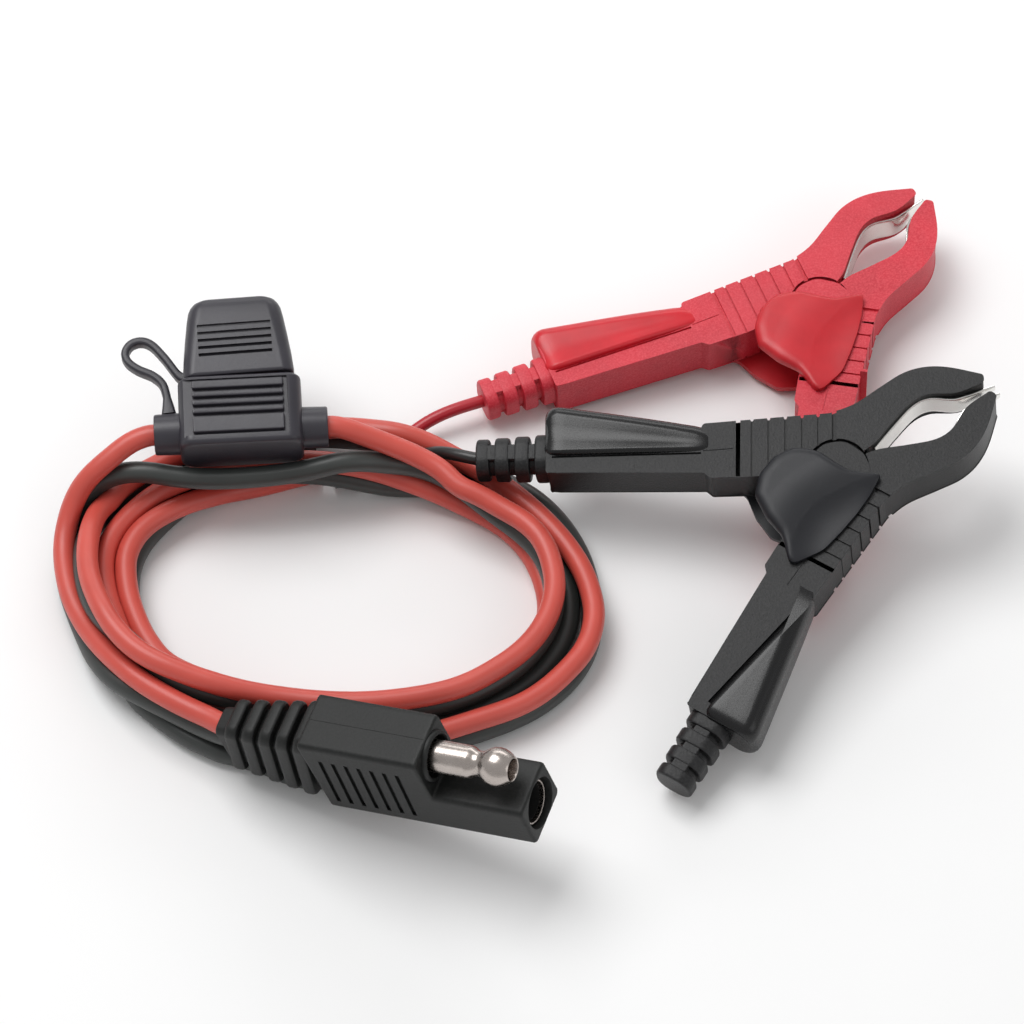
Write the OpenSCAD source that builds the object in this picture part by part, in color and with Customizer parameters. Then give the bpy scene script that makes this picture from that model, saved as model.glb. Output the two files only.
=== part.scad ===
// Output lead set of a small battery charger: a two-pole bullet connector, a
// coiled twin cord, an in-line blade-fuse holder and two insulated clamps.
// Millimetres, +Z up, resting on the plane Z = 0.

/* [Clamps] */
// Length from the pivot to the end of a handle's strain relief
arm_len = 50; // [40:1:60]
// Thickness of a clamp moulding, across the jaws
clamp_t = 6.4; // [5:0.2:8]
// Angle between the jaw line and the handle's own reference line
arm_skew = 29.5; // [20:0.5:40]
// Radius of the round hinge ears
ear_r = 4.2; // [3.5:0.1:5]
// Radius of the pivot pin
pin_r = 1.1; // [0.8:0.1:1.5]
// Radial running clearance of the pivot
pin_gap = 0.05; // [0.02:0.01:0.1]
// Thickness of the sheet-steel jaw contacts
contact_t = 0.4; // [0.3:0.05:0.8]
// Width of the jaw contacts
contact_w = 4; // [2.5:0.1:6]
// Wire radius of the torsion springs
spring_wire_r = 0.3; // [0.2:0.05:0.4]

/* [Connector] */
// Length of the connector's rectangular housing
plug_len = 17.6; // [14:0.2:22]
// Thickness of the housing, across its narrow way
plug_t = 8.5; // [7:0.1:10]
// Width of the housing, across both poles
plug_w = 15.3; // [13:0.1:18]
// Length of the shrouded female pole ahead of the set-back face
nose_len = 13; // [10:0.2:16]
// Length of the ribbed strain relief
boot_len = 14.8; // [10:0.2:20]
// Largest radius of the bullet pin
bullet_r = 2.6; // [2.2:0.05:3]
// Inner radius of the female sleeve
sleeve_r = 2.7; // [2.3:0.05:3.1]

/* [Fuse holder] */
// Width of the holder body
fuse_w = 17; // [15:0.2:20]
// Thickness of the holder body
fuse_t = 8.6; // [7:0.2:10]
// Height of the holder body
fuse_h = 10.4; // [9:0.2:12]
// Height of the pull-off cap
cap_h = 12.4; // [11:0.2:14]
// Outer radius of the cord tubes on the holder
tube_r = 3.1; // [2.8:0.1:3.6]

/* [Cord] */
// Height of the twin cord standing on edge
cord_h = 6; // [4:0.1:8]
// Diameter of the thin leads that run to the clamps
lead_d = 1.8; // [1.4:0.1:2.4]

/* [Hidden] */

// moves the layout so that the origin is under the middle of the hard pieces
shift = [-6.5, 5.6, 0];
red_pos = [44, 30.6, 5.7];
red_rot = [0, -3, 50];
black_pos = [44.8, -4, 14.2];
black_rot = [6.2, -10.5, 27];
plug_pos = [-9, -52.8, 16.4];
plug_rot = [5, -16, -22];
fuse_pos = [-37.4, 4, 13.9];
fuse_lean = 12;
fuse_yaw = 3.5;

half_t = clamp_t / 2;
hub_r = ear_r + 0.45;
c_red = [0.78, 0.10, 0.14];
c_cord_red = [0.80, 0.32, 0.28];
c_black = [0.06, 0.06, 0.06];
c_grey = [0.20, 0.19, 0.22];
c_steel = [0.75, 0.75, 0.74];
c_brass = [0.75, 0.60, 0.30];

// ---------------------------------------------------------------- placement
module at_red() { translate(shift + red_pos) rotate(red_rot) children(); }
module at_black() { translate(shift + black_pos) rotate(black_rot) children(); }
module at_plug() { translate(shift + plug_pos) rotate(plug_rot) children(); }
module at_fuse() { translate(shift + fuse_pos) rotate([0, 0, fuse_yaw]) rotate([fuse_lean, 0, 0]) children(); }

// ---------------------------------------------------------------- tubes
function unit(v) = v / norm(v);
function tan_at(p, i) = unit(p[min(i + 1, len(p) - 1)] - p[max(i - 1, 0)]);
// one closed tube swept along the points of a route that never runs upright
module tube(p, r, sides = 8) {
  ring = [for (i = [0:len(p) - 1]) let (t = tan_at(p, i), s = unit(cross(t, [0, 0, 1])), u = cross(s, t))
    for (k = [0:sides - 1]) p[i] + r * (cos(360 * k / sides) * s + sin(360 * k / sides) * u)];
  n = len(p);
  faces = concat(
    [[for (k = [0:sides - 1]) k]],
    [for (i = [0:n - 2], k = [0:sides - 1]) [i * sides + k, (i + 1) * sides + k, (i + 1) * sides + (k + 1) % sides, i * sides + (k + 1) % sides]],
    [[for (k = [sides - 1:-1:0]) (n - 1) * sides + k]]);
  polyhedron(ring, faces, convexity = 10);
}

// ---------------------------------------------------------------- clamp
// outline of a clamp half in the handle's own axes: handle along -X
arm_outline = [[-40.2, 0.3], [-40.2, 10.2], [-39.6, 10.8], [-21.4, 7.6], [-20.6, 7.3], [-1, 8.1], [2.4, 9.3],
  [5.9, 11.7], [9.1, 14], [12.1, 14.7], [15.4, 14.6], [20, 13.4], [20.1, 12.4],
  [16.4, 10.7], [12.6, 10.9], [10.1, 9.7], [7.5, 6.7], [5, 3.5], [3.2, 2.2],
  [0, 3], [-4.6, -0.4], [-11.6, -1], [-17.4, -1], [-18.3, -0.2], [-38.6, 0.2]];
// inner line of the jaw, in the jaw's axes
jaw_line = [[5.9, 0.55], [9.8, 2.14], [13.6, 3.45], [16.3, 3.28], [19.5, 1.24], [23.4, 0.92]];
guard_outline = [[-10.5, -3.9], [-7.6, -6.4], [-1.8, -7], [1.2, -4.2], [5.7, 1.9], [2.6, 4.6], [-1.2, 6.2], [-5.9, 7.6], [-11.9, 6.8], [-10.6, 2.7], [-11.2, -0.7]];

module strain_relief() {
  difference() {
    union() {
      translate([-arm_len, 3.9, 0]) rotate([0, 90, 0]) cylinder(h = 10, r1 = 3.0, r2 = 3.2, $fn = 28);
    }
    // alternating slots that let the relief bend
    for (i = [0:2]) {
      translate([-48.2 + 3 * i, 5.9, -4]) cube([0.9, 3, 8]);
      translate([-48.2 + 3 * i, -1.1, -4]) cube([0.9, 3, 8]);
    }
  }
}

// one clamp half: handle, jaw, hinge ears, guard and strain relief in one moulding.
// The other half is the same moulding turned over about the jaw line.
module clamp_half() {
  difference() {
    union() {
      difference() {
        rotate([0, 0, -arm_skew]) {
          linear_extrude(clamp_t, center = true) polygon(arm_outline);
          strain_relief();
        }
        cylinder(h = clamp_t + 2, r = hub_r, center = true, $fn = 48);
        // thumb recess of the handle, on both faces
        for (s = [-1, 1]) rotate([0, 0, -arm_skew]) translate([0, 0, s * half_t])
          linear_extrude(0.8, center = true) polygon([[-38.5, 2.6], [-38.5, 8.6], [-25, 6], [-25, 2.6]]);
      }
      // outer ear, under the guard
      translate([0, 0, -half_t - 0.2]) hull() {
        cylinder(h = 0.9, r = ear_r, $fn = 40);
        translate([1.2, 6, 0]) cylinder(h = 0.9, r = 1.2, $fn = 20);
      }
      // inner ear, on the other side of the spring
      translate([0, 0, half_t - 1.75]) hull() {
        cylinder(h = 0.85, r = ear_r, $fn = 40);
        translate([1.2, 6, 0]) cylinder(h = 0.85, r = 1.2, $fn = 20);
      }
      // saddle guard over the pivot
      translate([0, 0, -half_t - 2]) hull() {
        linear_extrude(0.4) offset(delta = -2.4) polygon(guard_outline);
        translate([0, 0, 1.3]) linear_extrude(0.52) polygon(guard_outline);
      }
    }
    // pivot bore, blind under the guard
    translate([0, 0, -half_t - 0.2]) cylinder(h = clamp_t + 2, r = pin_r + pin_gap, $fn = 40);
    // wire channel from the relief into the handle
    rotate([0, 0, -arm_skew]) translate([-arm_len - 1, 3.9, 0]) rotate([0, 90, 0]) cylinder(h = 21, r = 1.2, $fn = 24);
  }
}

// sprung steel strip that lines one jaw and ends in a blunt point
module jaw_contact() {
  n = len(jaw_line);
  up = [for (p = jaw_line) p];
  lo = [for (i = [n - 1:-1:0]) jaw_line[i] - [0, i == 0 ? contact_t : contact_t + 0.02]];
  intersection() {
    linear_extrude(contact_w, center = true) polygon(concat(up, [[25.2, 0.86], [25.2, 0.42]], lo));
    rotate([90, 0, 0]) linear_extrude(20, center = true)
      polygon([[4, -2], [4, 2], [21, 2], [25.3, 0.6], [25.3, -0.6], [21, -2]]);
  }
}

module pivot_pin() { cylinder(h = clamp_t + 0.2, r = pin_r, center = true, $fn = 40); }

// torsion spring: three turns round the pin and a leg on each handle
module torsion_spring() {
  r = 2.2;
  difference() {
    union() {
      cylinder(h = 2.4, r = r + spring_wire_r, center = true, $fn = 36);
      leg([-1.27, -1.79, -0.9], [-9.36, 3.78, -0.9]);
      leg([-1.27, 1.79, 0.9], [-9.36, -3.78, 0.9]);
    }
    cylinder(h = 4, r = r - spring_wire_r, center = true, $fn = 36);
  }
}
module leg(a, b) {
  d = b - a;
  translate(a) rotate([0, 0, atan2(d[1], d[0])]) rotate([0, 90, 0]) cylinder(h = norm(d), r = spring_wire_r, $fn = 16);
}

// crimped barrel that joins the lead to the contact, inside the handle
module crimp() {
  rotate([0, 0, -arm_skew]) translate([-37, 3.9, 0]) rotate([0, 90, 0]) difference() {
    cylinder(h = 6, r = 1.1, $fn = 24);
    translate([0, 0, -1]) cylinder(h = 4, r = 0.7, $fn = 24);
  }
}

module red_half_a() { color(c_red) at_red() clamp_half(); }
module red_half_b() { color(c_red) at_red() rotate([180, 0, 0]) clamp_half(); }
module red_contact_a() { color(c_steel) at_red() jaw_contact(); }
module red_contact_b() { color(c_steel) at_red() rotate([180, 0, 0]) jaw_contact(); }
module red_pivot_pin() { color(c_steel) at_red() pivot_pin(); }
module red_spring() { color(c_steel) at_red() torsion_spring(); }
module red_crimp() { color(c_brass) at_red() crimp(); }
module black_half_a() { color(c_black) at_black() clamp_half(); }
module black_half_b() { color(c_black) at_black() rotate([180, 0, 0]) clamp_half(); }
module black_contact_a() { color(c_steel) at_black() jaw_contact(); }
module black_contact_b() { color(c_steel) at_black() rotate([180, 0, 0]) jaw_contact(); }
module black_pivot_pin() { color(c_steel) at_black() pivot_pin(); }
module black_spring() { color(c_steel) at_black() torsion_spring(); }
module black_crimp() { color(c_brass) at_black() crimp(); }

// ---------------------------------------------------------------- connector
pole_z = 3.9;
module block(x0, x1, t, z0, z1, r = 1) {
  translate([x0, 0, (z0 + z1) / 2]) rotate([0, 90, 0]) linear_extrude(x1 - x0)
    offset(r = r, $fn = 16) square([z1 - z0 - 2 * r, t - 2 * r], center = true);
}

module connector_housing() {
  color(c_black) at_plug() difference() {
    union() {
      block(-plug_len, 0, plug_t, -plug_w / 2, plug_w / 2);
      block(-1, nose_len, plug_t, -plug_w / 2, -0.1);
      // stepped, tapered strain relief
      for (i = [0:4]) let (x = -plug_len - 0.4 - 2.9 * i, k = 1 - 0.075 * i)
        block(x - 2, x + 0.1, (plug_t - 0.6) * k, -7 * k * k, 7 * k * k, 0.9);
      block(-plug_len - boot_len, -plug_len + 0.5, 4.6, -4, 4, 0.9);
      // locking rib under the nose
      block(-4, 7, 3, -plug_w / 2 - 1.8, -plug_w / 2 + 1, 0.6);
    }
    // grip grooves on both wide faces
    for (i = [0:6], s = [-1, 1]) translate([-15.6 + 1.9 * i, s * (plug_t / 2 + 0.1), 0]) cube([0.7, 1, 10.2], center = true);
    // metal pin seat and female socket
    translate([-8, 0, pole_z]) rotate([0, 90, 0]) cylinder(h = 20, r = 2.2, $fn = 40);
    translate([-8, 0, -pole_z]) rotate([0, 90, 0]) cylinder(h = 40, r = 3.3, $fn = 48);
    // cord entry
    translate([-plug_len - boot_len - 1, 0, 1.5]) rotate([0, 90, 0]) cylinder(h = 9, r = 1.45, $fn = 24);
    translate([-plug_len - boot_len - 1, 0, -1.5]) rotate([0, 90, 0]) cylinder(h = 9, r = 1.45, $fn = 24);
  }
}
module male_pin() {
  color(c_steel) at_plug() translate([0, 0, pole_z]) rotate([0, 90, 0]) rotate_extrude($fn = 48)
    polygon([[0, -8], [2.2, -8], [2.2, 0], [2.2, 5.6], [1.7, 6.2], [1.7, 7.2], [2.3, 7.9], [bullet_r, 9.2], [2.4, 10.6], [1.9, 11.4], [1.1, 11.5], [1.1, 8], [0, 8]]);
}
module female_sleeve() {
  color(c_steel) at_plug() translate([-8, 0, -pole_z]) rotate([0, 90, 0]) difference() {
    cylinder(h = 8 + nose_len - 0.8, r = sleeve_r + 0.4, $fn = 48);
    translate([0, 0, 5]) cylinder(h = 30, r = sleeve_r, $fn = 48);
  }
}

// ---------------------------------------------------------------- fuse holder
// local axes: X along the tubes, Y towards the cap, Z to the front face
// (the cap pulls off along local +Y)
body_lo = -3.5;
body_hi = body_lo + fuse_h;
cap_lo = body_hi + 0.2;
module slab(w, t, y0, y1, r = 1.2) {
  translate([0, y0, 0]) rotate([-90, 0, 0]) linear_extrude(y1 - y0) offset(r = r, $fn = 16) square([w - 2 * r, t - 2 * r], center = true);
}

module fuse_body() {
  color(c_grey) at_fuse() difference() {
    union() {
      slab(fuse_w, fuse_t, body_lo, body_hi);
      rotate([0, 90, 0]) cylinder(h = fuse_w + 7, r = tube_r, center = true, $fn = 40);
      // raised grip panel with ribs
      translate([-6.5, body_lo + 3, 0]) cube([13, 5, fuse_t / 2 + 0.5]);
    }
    for (i = [0:3]) translate([-6.8, body_lo + 3.8 + 1.1 * i, fuse_t / 2]) cube([13.6, 0.5, 1.2]);
    // chamber for the clips and the fuse
    slab(12.2, 4.6, -1.6, body_hi + 1, 0.6);
    // wire bore of the tubes
    rotate([0, 90, 0]) cylinder(h = fuse_w + 12, r = 1.5, center = true, $fn = 32);
  }
}
module fuse_cap() {
  color(c_grey) at_fuse() difference() {
    hull() {
      slab(15.4, 8.2, cap_lo, cap_lo + 0.5);
      slab(13.4, 7, cap_lo + 10.2, cap_lo + 10.7);
      slab(10.4, 5.6, cap_lo + cap_h - 0.5, cap_lo + cap_h);
    }
    slab(12.2, 4.6, cap_lo - 1, cap_lo + 9.4, 0.6);
    for (i = [0:4]) translate([-5.2, cap_lo + 2.6 + 1.2 * i, 3.55]) cube([10.4, 0.5, 1.2]);
  }
}
// strap from the cap's lower corner, round a loop and down to the left tube
strap_path = [[-8.3, 8.6], [-10.2, 11.6], [-12, 13.6], [-14, 14.2], [-15.6, 12.9], [-15.4, 11], [-13.8, 9.6], [-11.6, 8], [-10.1, 6], [-9.9, 3.75]];
module fuse_tether() {
  color(c_grey) at_fuse() for (i = [0:len(strap_path) - 2]) hull() {
    translate([strap_path[i][0], strap_path[i][1], -0.9]) cylinder(h = 1.8, r = 0.6, $fn = 16);
    translate([strap_path[i + 1][0], strap_path[i + 1][1], -0.9]) cylinder(h = 1.8, r = 0.6, $fn = 16);
  }
}
module fuse_clips() {
  color(c_brass) at_fuse() for (s = [-1, 1]) translate([s * 4, 0, 0]) difference() {
    translate([-1.5, -1.5, -1.2]) cube([3, 6.4, 2.4]);
    translate([-2, -0.6, -0.42]) cube([4, 8, 0.84]);
  }
}
module fuse_insulator() {
  color([0.85, 0.35, 0.1]) at_fuse() slab(10.9, 3.6, 5.2, 13.6, 0.5);
}
module fuse_blades() {
  color(c_steel) at_fuse() for (s = [-1, 1]) translate([s * 4 - 1.3, -0.4, -0.4]) cube([2.6, 5.6, 0.8]);
}

// ---------------------------------------------------------------- cord
module oval(cx, cy, rx, ry, h) { translate([cx, cy, 0]) scale([rx, ry, 1]) cylinder(h = h, r = 1, $fn = 64); }
module cord_coil() {
  color(c_cord_red) translate(shift) difference() {
    oval(-25.4, -15.6, 38.5, 30.8, cord_h);
    translate([0, 0, -1]) oval(-23.8, -14.6, 27.6, 18.6, cord_h + 2);
    // room for the connector, which lies over the outer turn
    translate(plug_pos) rotate(plug_rot) translate([-32.45, -4.9, -8.2]) cube([36, 9.8, 17]);
  }
}
// the last stretch before the connector, over the outer turn
boot_route = [[-38, -41.1, 7.5], [-40.5, -39.5, 7], [-45, -36.6, 6.1], [-49.5, -33.5, 5.6], [-54, -29.5, 4.6]];
// from the left of the coil up to the fuse holder
fuse_route = [[-61.2, -8, 3.6], [-60.2, -3, 7], [-56.6, -0.4, 11], [-52, 1.8, 13.3], [-49.1, 3.2, 13.9], [-45.5, 3.5, 13.9]];
// from the fuse holder round the right and along the front, on top of the other turns
upper_route = [[-25.4, 4.7, 13.9], [-21.5, 4.5, 13], [-16.8, 3.6, 10.6], [-11.8, 2.9, 7.2], [-7, 1.4, 4.5], [-2.4, -2.7, 4.6],
  [2, -6.9, 5.4], [5.4, -13, 6], [5.4, -19.5, 6], [0.6, -28.7, 6], [-9.6, -34.8, 6], [-21.5, -36.4, 6],
  [-34, -35.4, 6.6], [-45.4, -32.7, 8.8], [-53.6, -25.8, 9.2], [-58.2, -14.2, 7.5], [-57, -3, 4.8]];
module cord_connector_end() { color(c_black) translate(shift) tube(boot_route, 2.5); }
module cord_fuse_end() { color(c_cord_red) translate(shift) tube(fuse_route, 1.5); }
module cord_upper_turn() { color(c_cord_red) translate(shift) tube(upper_route, 2.5, 10); }
// routes of the thin leads, from the coil to the clamps' strain reliefs
red_route = [[-17, 9.5, 3], [-13.6, 12.1, 3], [-10.4, 14.2, 3.2], [-7, 15.8, 3.5], [-3.2, 17.2, 3.5], [3.3, 19.6, 3.9]];
black_route = [[-16, 7.6, 3.4], [-14, 6.9, 5], [-11.4, 6.2, 7], [-8.6, 4.2, 8.7], [-6.6, 2.4, 9.3], [-4.8, 2, 9.6],
  [3.2, 1.6, 10.4]];
module lead_red() { color(c_red) translate(shift) tube(red_route, lead_d / 2); }
module lead_black() { color(c_black) translate(shift) tube(black_route, lead_d / 2); }

cord_coil();
cord_connector_end();
cord_fuse_end();
cord_upper_turn();
lead_red();
lead_black();
connector_housing();
male_pin();
female_sleeve();
fuse_body();
fuse_cap();
fuse_tether();
fuse_clips();
fuse_insulator();
fuse_blades();
red_half_a();
red_half_b();
red_contact_a();
red_contact_b();
red_pivot_pin();
red_spring();
red_crimp();
black_half_a();
black_half_b();
black_contact_a();
black_contact_b();
black_pivot_pin();
black_spring();
black_crimp();
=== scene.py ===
"""Output lead set of a battery charger: connector, twin cord, fuse holder and two clamps."""
import math

import bmesh
import bpy
import numpy as np
from mathutils import Matrix, Vector


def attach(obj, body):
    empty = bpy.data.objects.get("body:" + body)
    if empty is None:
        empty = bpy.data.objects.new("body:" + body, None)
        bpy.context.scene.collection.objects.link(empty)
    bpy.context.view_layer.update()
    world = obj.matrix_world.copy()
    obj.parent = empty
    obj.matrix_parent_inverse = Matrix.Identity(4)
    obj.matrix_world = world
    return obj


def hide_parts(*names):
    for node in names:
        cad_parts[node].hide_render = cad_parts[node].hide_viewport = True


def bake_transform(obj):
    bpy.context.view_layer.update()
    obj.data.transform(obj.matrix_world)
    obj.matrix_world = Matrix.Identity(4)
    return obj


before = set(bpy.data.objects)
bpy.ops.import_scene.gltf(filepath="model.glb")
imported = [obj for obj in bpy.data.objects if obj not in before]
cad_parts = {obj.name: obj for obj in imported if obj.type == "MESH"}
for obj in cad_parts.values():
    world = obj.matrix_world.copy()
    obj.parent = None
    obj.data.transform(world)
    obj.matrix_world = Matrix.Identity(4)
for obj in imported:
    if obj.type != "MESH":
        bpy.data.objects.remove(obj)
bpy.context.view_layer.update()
scene = bpy.context.scene

# ------------------------------------------------------------------ frames
# The layout is in millimetres, SHIFT moves it into the part's own frame.
SHIFT = np.array([-6.5, 5.6, 0.0])


def rot(rx, ry, rz):
    a, b, c = np.radians([rx, ry, rz])
    X = np.array([[1, 0, 0], [0, math.cos(a), -math.sin(a)], [0, math.sin(a), math.cos(a)]])
    Y = np.array([[math.cos(b), 0, math.sin(b)], [0, 1, 0], [-math.sin(b), 0, math.cos(b)]])
    Z = np.array([[math.cos(c), -math.sin(c), 0], [math.sin(c), math.cos(c), 0], [0, 0, 1]])
    return Z @ Y @ X


RED = (rot(0, -3, 50), np.array([44, 30.6, 5.7]))
BLACK = (rot(6.2, -10.5, 27), np.array([44.8, -4, 14.2]))
PLUG = (rot(5, -16, -22), np.array([-9, -52.8, 16.4]))
FUSE = (rot(0, 0, 3.5) @ rot(12, 0, 0), np.array([-37.4, 4, 13.9]))
ARM_SKEW = math.radians(29.5)


def lay_pt(fr, p):
    """a point of a local frame, in layout millimetres"""
    return fr[0] @ np.array(p, float) + fr[1]


def arm(x, y, z=0.0):
    c, s = math.cos(ARM_SKEW), math.sin(ARM_SKEW)
    return [x * c + y * s, -x * s + y * c, z]


def matrix(fr):
    """local millimetres to the row frame in metres"""
    m = Matrix.Identity(4)
    for i in range(3):
        for j in range(3):
            m[i][j] = fr[0][i, j] * 0.001
        m[i][3] = (fr[1][i] + SHIFT[i]) * 0.001
    return m


M_RED, M_BLACK, M_PLUG, M_FUSE = (matrix(f) for f in (RED, BLACK, PLUG, FUSE))
FLIP = Matrix.Rotation(math.pi, 4, "X")
M_ARM = Matrix.Rotation(-ARM_SKEW, 4, "Z")

# ------------------------------------------------------------------ camera
CAM = np.array([0.0, -372.8, 532.5])
cam_data = bpy.data.cameras.new("camera")
cam = bpy.data.objects.new("camera", cam_data)
scene.collection.objects.link(cam)
cam.location = Vector((CAM + SHIFT) * 0.001)
cam.rotation_euler = (math.radians(35), 0, 0)
cam_data.lens = 163
cam_data.sensor_width = 36
cam_data.sensor_fit = "HORIZONTAL"
cam_data.clip_start = 0.01
cam_data.clip_end = 20
scene.camera = cam

# the camera's rays, to lay the cord where it is seen
ELEV = math.radians(55)
FWD = np.array([0, math.cos(ELEV), -math.sin(ELEV)])
UP = np.array([0, math.sin(ELEV), math.cos(ELEV)])
EYE = -FWD * 650.0
FOCAL = 163 / 36 * 1024


def on_ray(x, y, z):
    r = FWD + np.array([1.0, 0, 0]) * (x - 512) / FOCAL + UP * (512 - y) / FOCAL
    return EYE + r * ((z - EYE[2]) / r[2])


# ------------------------------------------------------------------ cord
# Each row: where the red conductor runs in the view, its height, and how far
# the black one leans from straight below it towards the outside of the ring.
ROUTE_A = [
    (210, 716.8, 8, 0), (191, 709.3, 7.6, 0), (154, 689, 7.5, 0), (129.5, 672, 7.2, 0), (104, 648, 6, 0),
    (84, 622, 4.6, 0), (68.5, 586, 4.5, 0), (64.4, 548, 4.5, 0), (69, 515, 5.5, 0), (82, 487, 8, 0),
    (96, 471, 10.4, 0), (112, 457, 12, 0), (133, 440, 13.7, 0)]
ROUTE_B = [
    (351, 430.5, 13.5, 0), (371, 437.5, 12.3, 0), (393, 446, 10.6, 0), (420, 458, 9.0, 0), (447, 472, 8.4, 0),
    (473, 490, 8.0, 0), (500, 507.5, 7.6, 0), (524, 521, 7.5, 0), (543.8, 542.4, 7.5, 0), (553.6, 573, 7.5, 0), (554.3, 591.5, 7.5, 0),
    (548.4, 614, 7.5, 0), (536, 635, 7.5, 0), (517.8, 653.6, 7.5, 0), (494.8, 668.9, 7.5, 0), (464.2, 685, 7.5, 0),
    (425.9, 695, 7.5, 0), (380, 701, 7.5, 0), (340, 702, 7.5, 0), (302, 699.5, 7.5, 0), (268, 695, 7.8, 0),
    (241, 690, 8.5, 0), (206.7, 680.5, 9.5, 0), (172, 667.5, 10.3, 0), (157, 661, 10.5, 0), (136.5, 649, 10.5, 0),
    (114.8, 627.6, 10.3, 10), (99.5, 602, 9.8, 20), (88.7, 573, 9, 30), (87.5, 548, 8.4, 30), (91, 528, 7.6, 30),
    (98.9, 510, 6.4, 20), (113.6, 494, 5.2, 10), (129.7, 481.5, 4.6, 0), (147, 470, 4.5, 0), (175, 457, 4.5, 0),
    (200, 448, 4.5, 0), (242, 440, 4.5, 0), (290, 434, 4.5, 0), (320, 429, 4.5, 0), (345, 427.5, 4.8, 0),
    (360, 428.5, 6, 0), (388, 431, 6.5, 0), (410, 436, 6.3, 0), (428, 443, 5.6, 0), (447, 453, 4.6, 0),
    (466, 463, 4.5, 0), (488, 475, 4.5, 0), (512, 492, 4.5, 0), (538, 514, 4.5, 0), (563.4, 541, 4.5, 0),
    (583.8, 573, 4.5, 0), (594, 608, 4.5, 0), (591.8, 630, 4.5, 0), (583.8, 650.4, 4.5, 0), (571.3, 665, 4.5, 0),
    (548.4, 687, 4.5, 0), (517.8, 705.6, 4.5, 0), (471.8, 721, 4.5, 0), (440, 731, 4.5, 0), (400, 741, 4.4, 10),
    (360, 750, 4, 30), (320, 756, 3, 60), (285, 754, 1.8, 85), (264, 749, 1.5, 90), (241, 742, 1.5, 90),
    (215, 731, 1.5, 90), (190, 714, 1.5, 88), (160, 690, 1.8, 80), (140, 665, 3, 50), (126, 640, 4.3, 15),
    (116, 614, 4.5, 0), (107, 590, 4.5, 0), (104, 557, 4.5, 0), (110, 541, 4.5, 0), (122.3, 523.7, 4.5, 0),
    (139.7, 506.3, 4.5, 0), (164.5, 489, 4.6, 0), (196, 475.5, 5.6, 0), (225, 467.5, 7, 0), (255, 463, 7.5, 0),
    (290, 460.5, 7.5, 0), (330, 462, 7.2, 0), (365, 468, 6, 0), (400, 478, 4.6, 0), (430, 489.5, 3.6, 15),
    (457, 501.5, 2.4, 45), (482, 514, 1.6, 75), (506, 528, 1.5, 90), (522, 543, 1.5, 90), (538.5, 568, 1.5, 90),
    (547, 597, 1.5, 90), (547.5, 615, 1.5, 90), (541, 636, 1.5, 90), (528, 655.5, 1.5, 90), (511, 672, 1.5, 90),
    (489, 684, 1.5, 90), (460, 698, 1.5, 90), (424, 707, 1.5, 90), (380, 713, 1.5, 90), (340, 714, 1.5, 90),
    (302, 710, 1.6, 88), (270, 703, 1.9, 75), (241, 694, 2.9, 50), (212, 683, 4.1, 20), (185, 672, 4.5, 0),
    (163, 661, 4.5, 0), (147, 645, 4.5, 0), (135.3, 624, 4.5, 0), (128, 602, 4.5, 0), (126, 580, 4.5, 0),
    (125.7, 557, 4.5, 0), (132.4, 541, 4.5, 0), (143, 527.7, 4.5, 0), (160.5, 516, 4.5, 0), (180, 506, 4, 30),
    (200, 499, 3, 60), (222, 493, 1.8, 85), (245, 489, 1.5, 90), (270, 484, 1.5, 90), (295, 477, 1.5, 90),
    (320, 471, 1.5, 90)]
LEAD_RED = [(-23.5, 6.2, 1.5), (-20, 8, 1.4), (-17, 10.3, 1.5), (-13.6, 12.7, 2.4), (-10.4, 14.4, 3.2), (-7, 15.8, 3.5),
            (-3.2, 17.2, 3.5), (3.3, 19.6, 3.9), (5.5, 20.5, 4)]
LEAD_BLACK = [(-24.5, 4.2, 1.5), (-21.5, 5.4, 1.5), (-18.6, 6.8, 2), (-16, 7.4, 3.4), (-14, 7, 5), (-11.4, 6, 7),
              (-8.8, 4.2, 8.6), (-6.8, 2.6, 9.3), (-4.8, 2, 9.6), (3.2, 1.6, 10.4), (6, 1.4, 10.7)]
RING_MID = np.array([-24.5, -15.0, 0])
STEP = 1.5


def spline(P, step):
    """a smooth curve through P, in points one step apart"""
    P = np.array(P, float)
    Q = np.vstack([2 * P[0] - P[1], P, 2 * P[-1] - P[-2]])
    out = []
    for i in range(1, len(Q) - 2):
        t = np.linspace(0, 1, 12, endpoint=False)[:, None]
        a, b, c, d = Q[i - 1:i + 3]
        out.append(0.5 * (2 * b + (c - a) * t + (2 * a - 5 * b + 4 * c - d) * t * t + (3 * b - a - 3 * c + d) * t ** 3))
    out = np.vstack(out + [P[-1:]])
    s = np.r_[0, np.cumsum(np.linalg.norm(np.diff(out[:, :3], axis=0), axis=1))]
    u = np.linspace(0, s[-1], max(3, int(round(s[-1] / step)) + 1))
    return np.column_stack([np.interp(u, s, out[:, k]) for k in range(out.shape[1])])


def laid(rows, pre=(), post=()):
    P = [list(on_ray(x, y, z)) + [r] for x, y, z, r in rows]
    return np.array([list(p) + [0] for p in pre] + P + [list(p) + [0] for p in post])


def beside(P):
    """the black conductor, three millimetres from the red one"""
    d = np.gradient(P[:, :3], axis=0)
    d /= np.linalg.norm(d, axis=1)[:, None]
    s = np.cross(d, [0, 0, 1.0])
    s /= np.linalg.norm(s, axis=1)[:, None]
    sg = np.sign((s * (P[:, :3] - RING_MID)).sum(1))
    sg[sg == 0] = 1
    r = np.radians(P[:, 3])
    return P[:, :3] + 3.0 * (np.cos(r)[:, None] * np.array([0, 0, -1.0]) + np.sin(r)[:, None] * s * sg[:, None])


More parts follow.
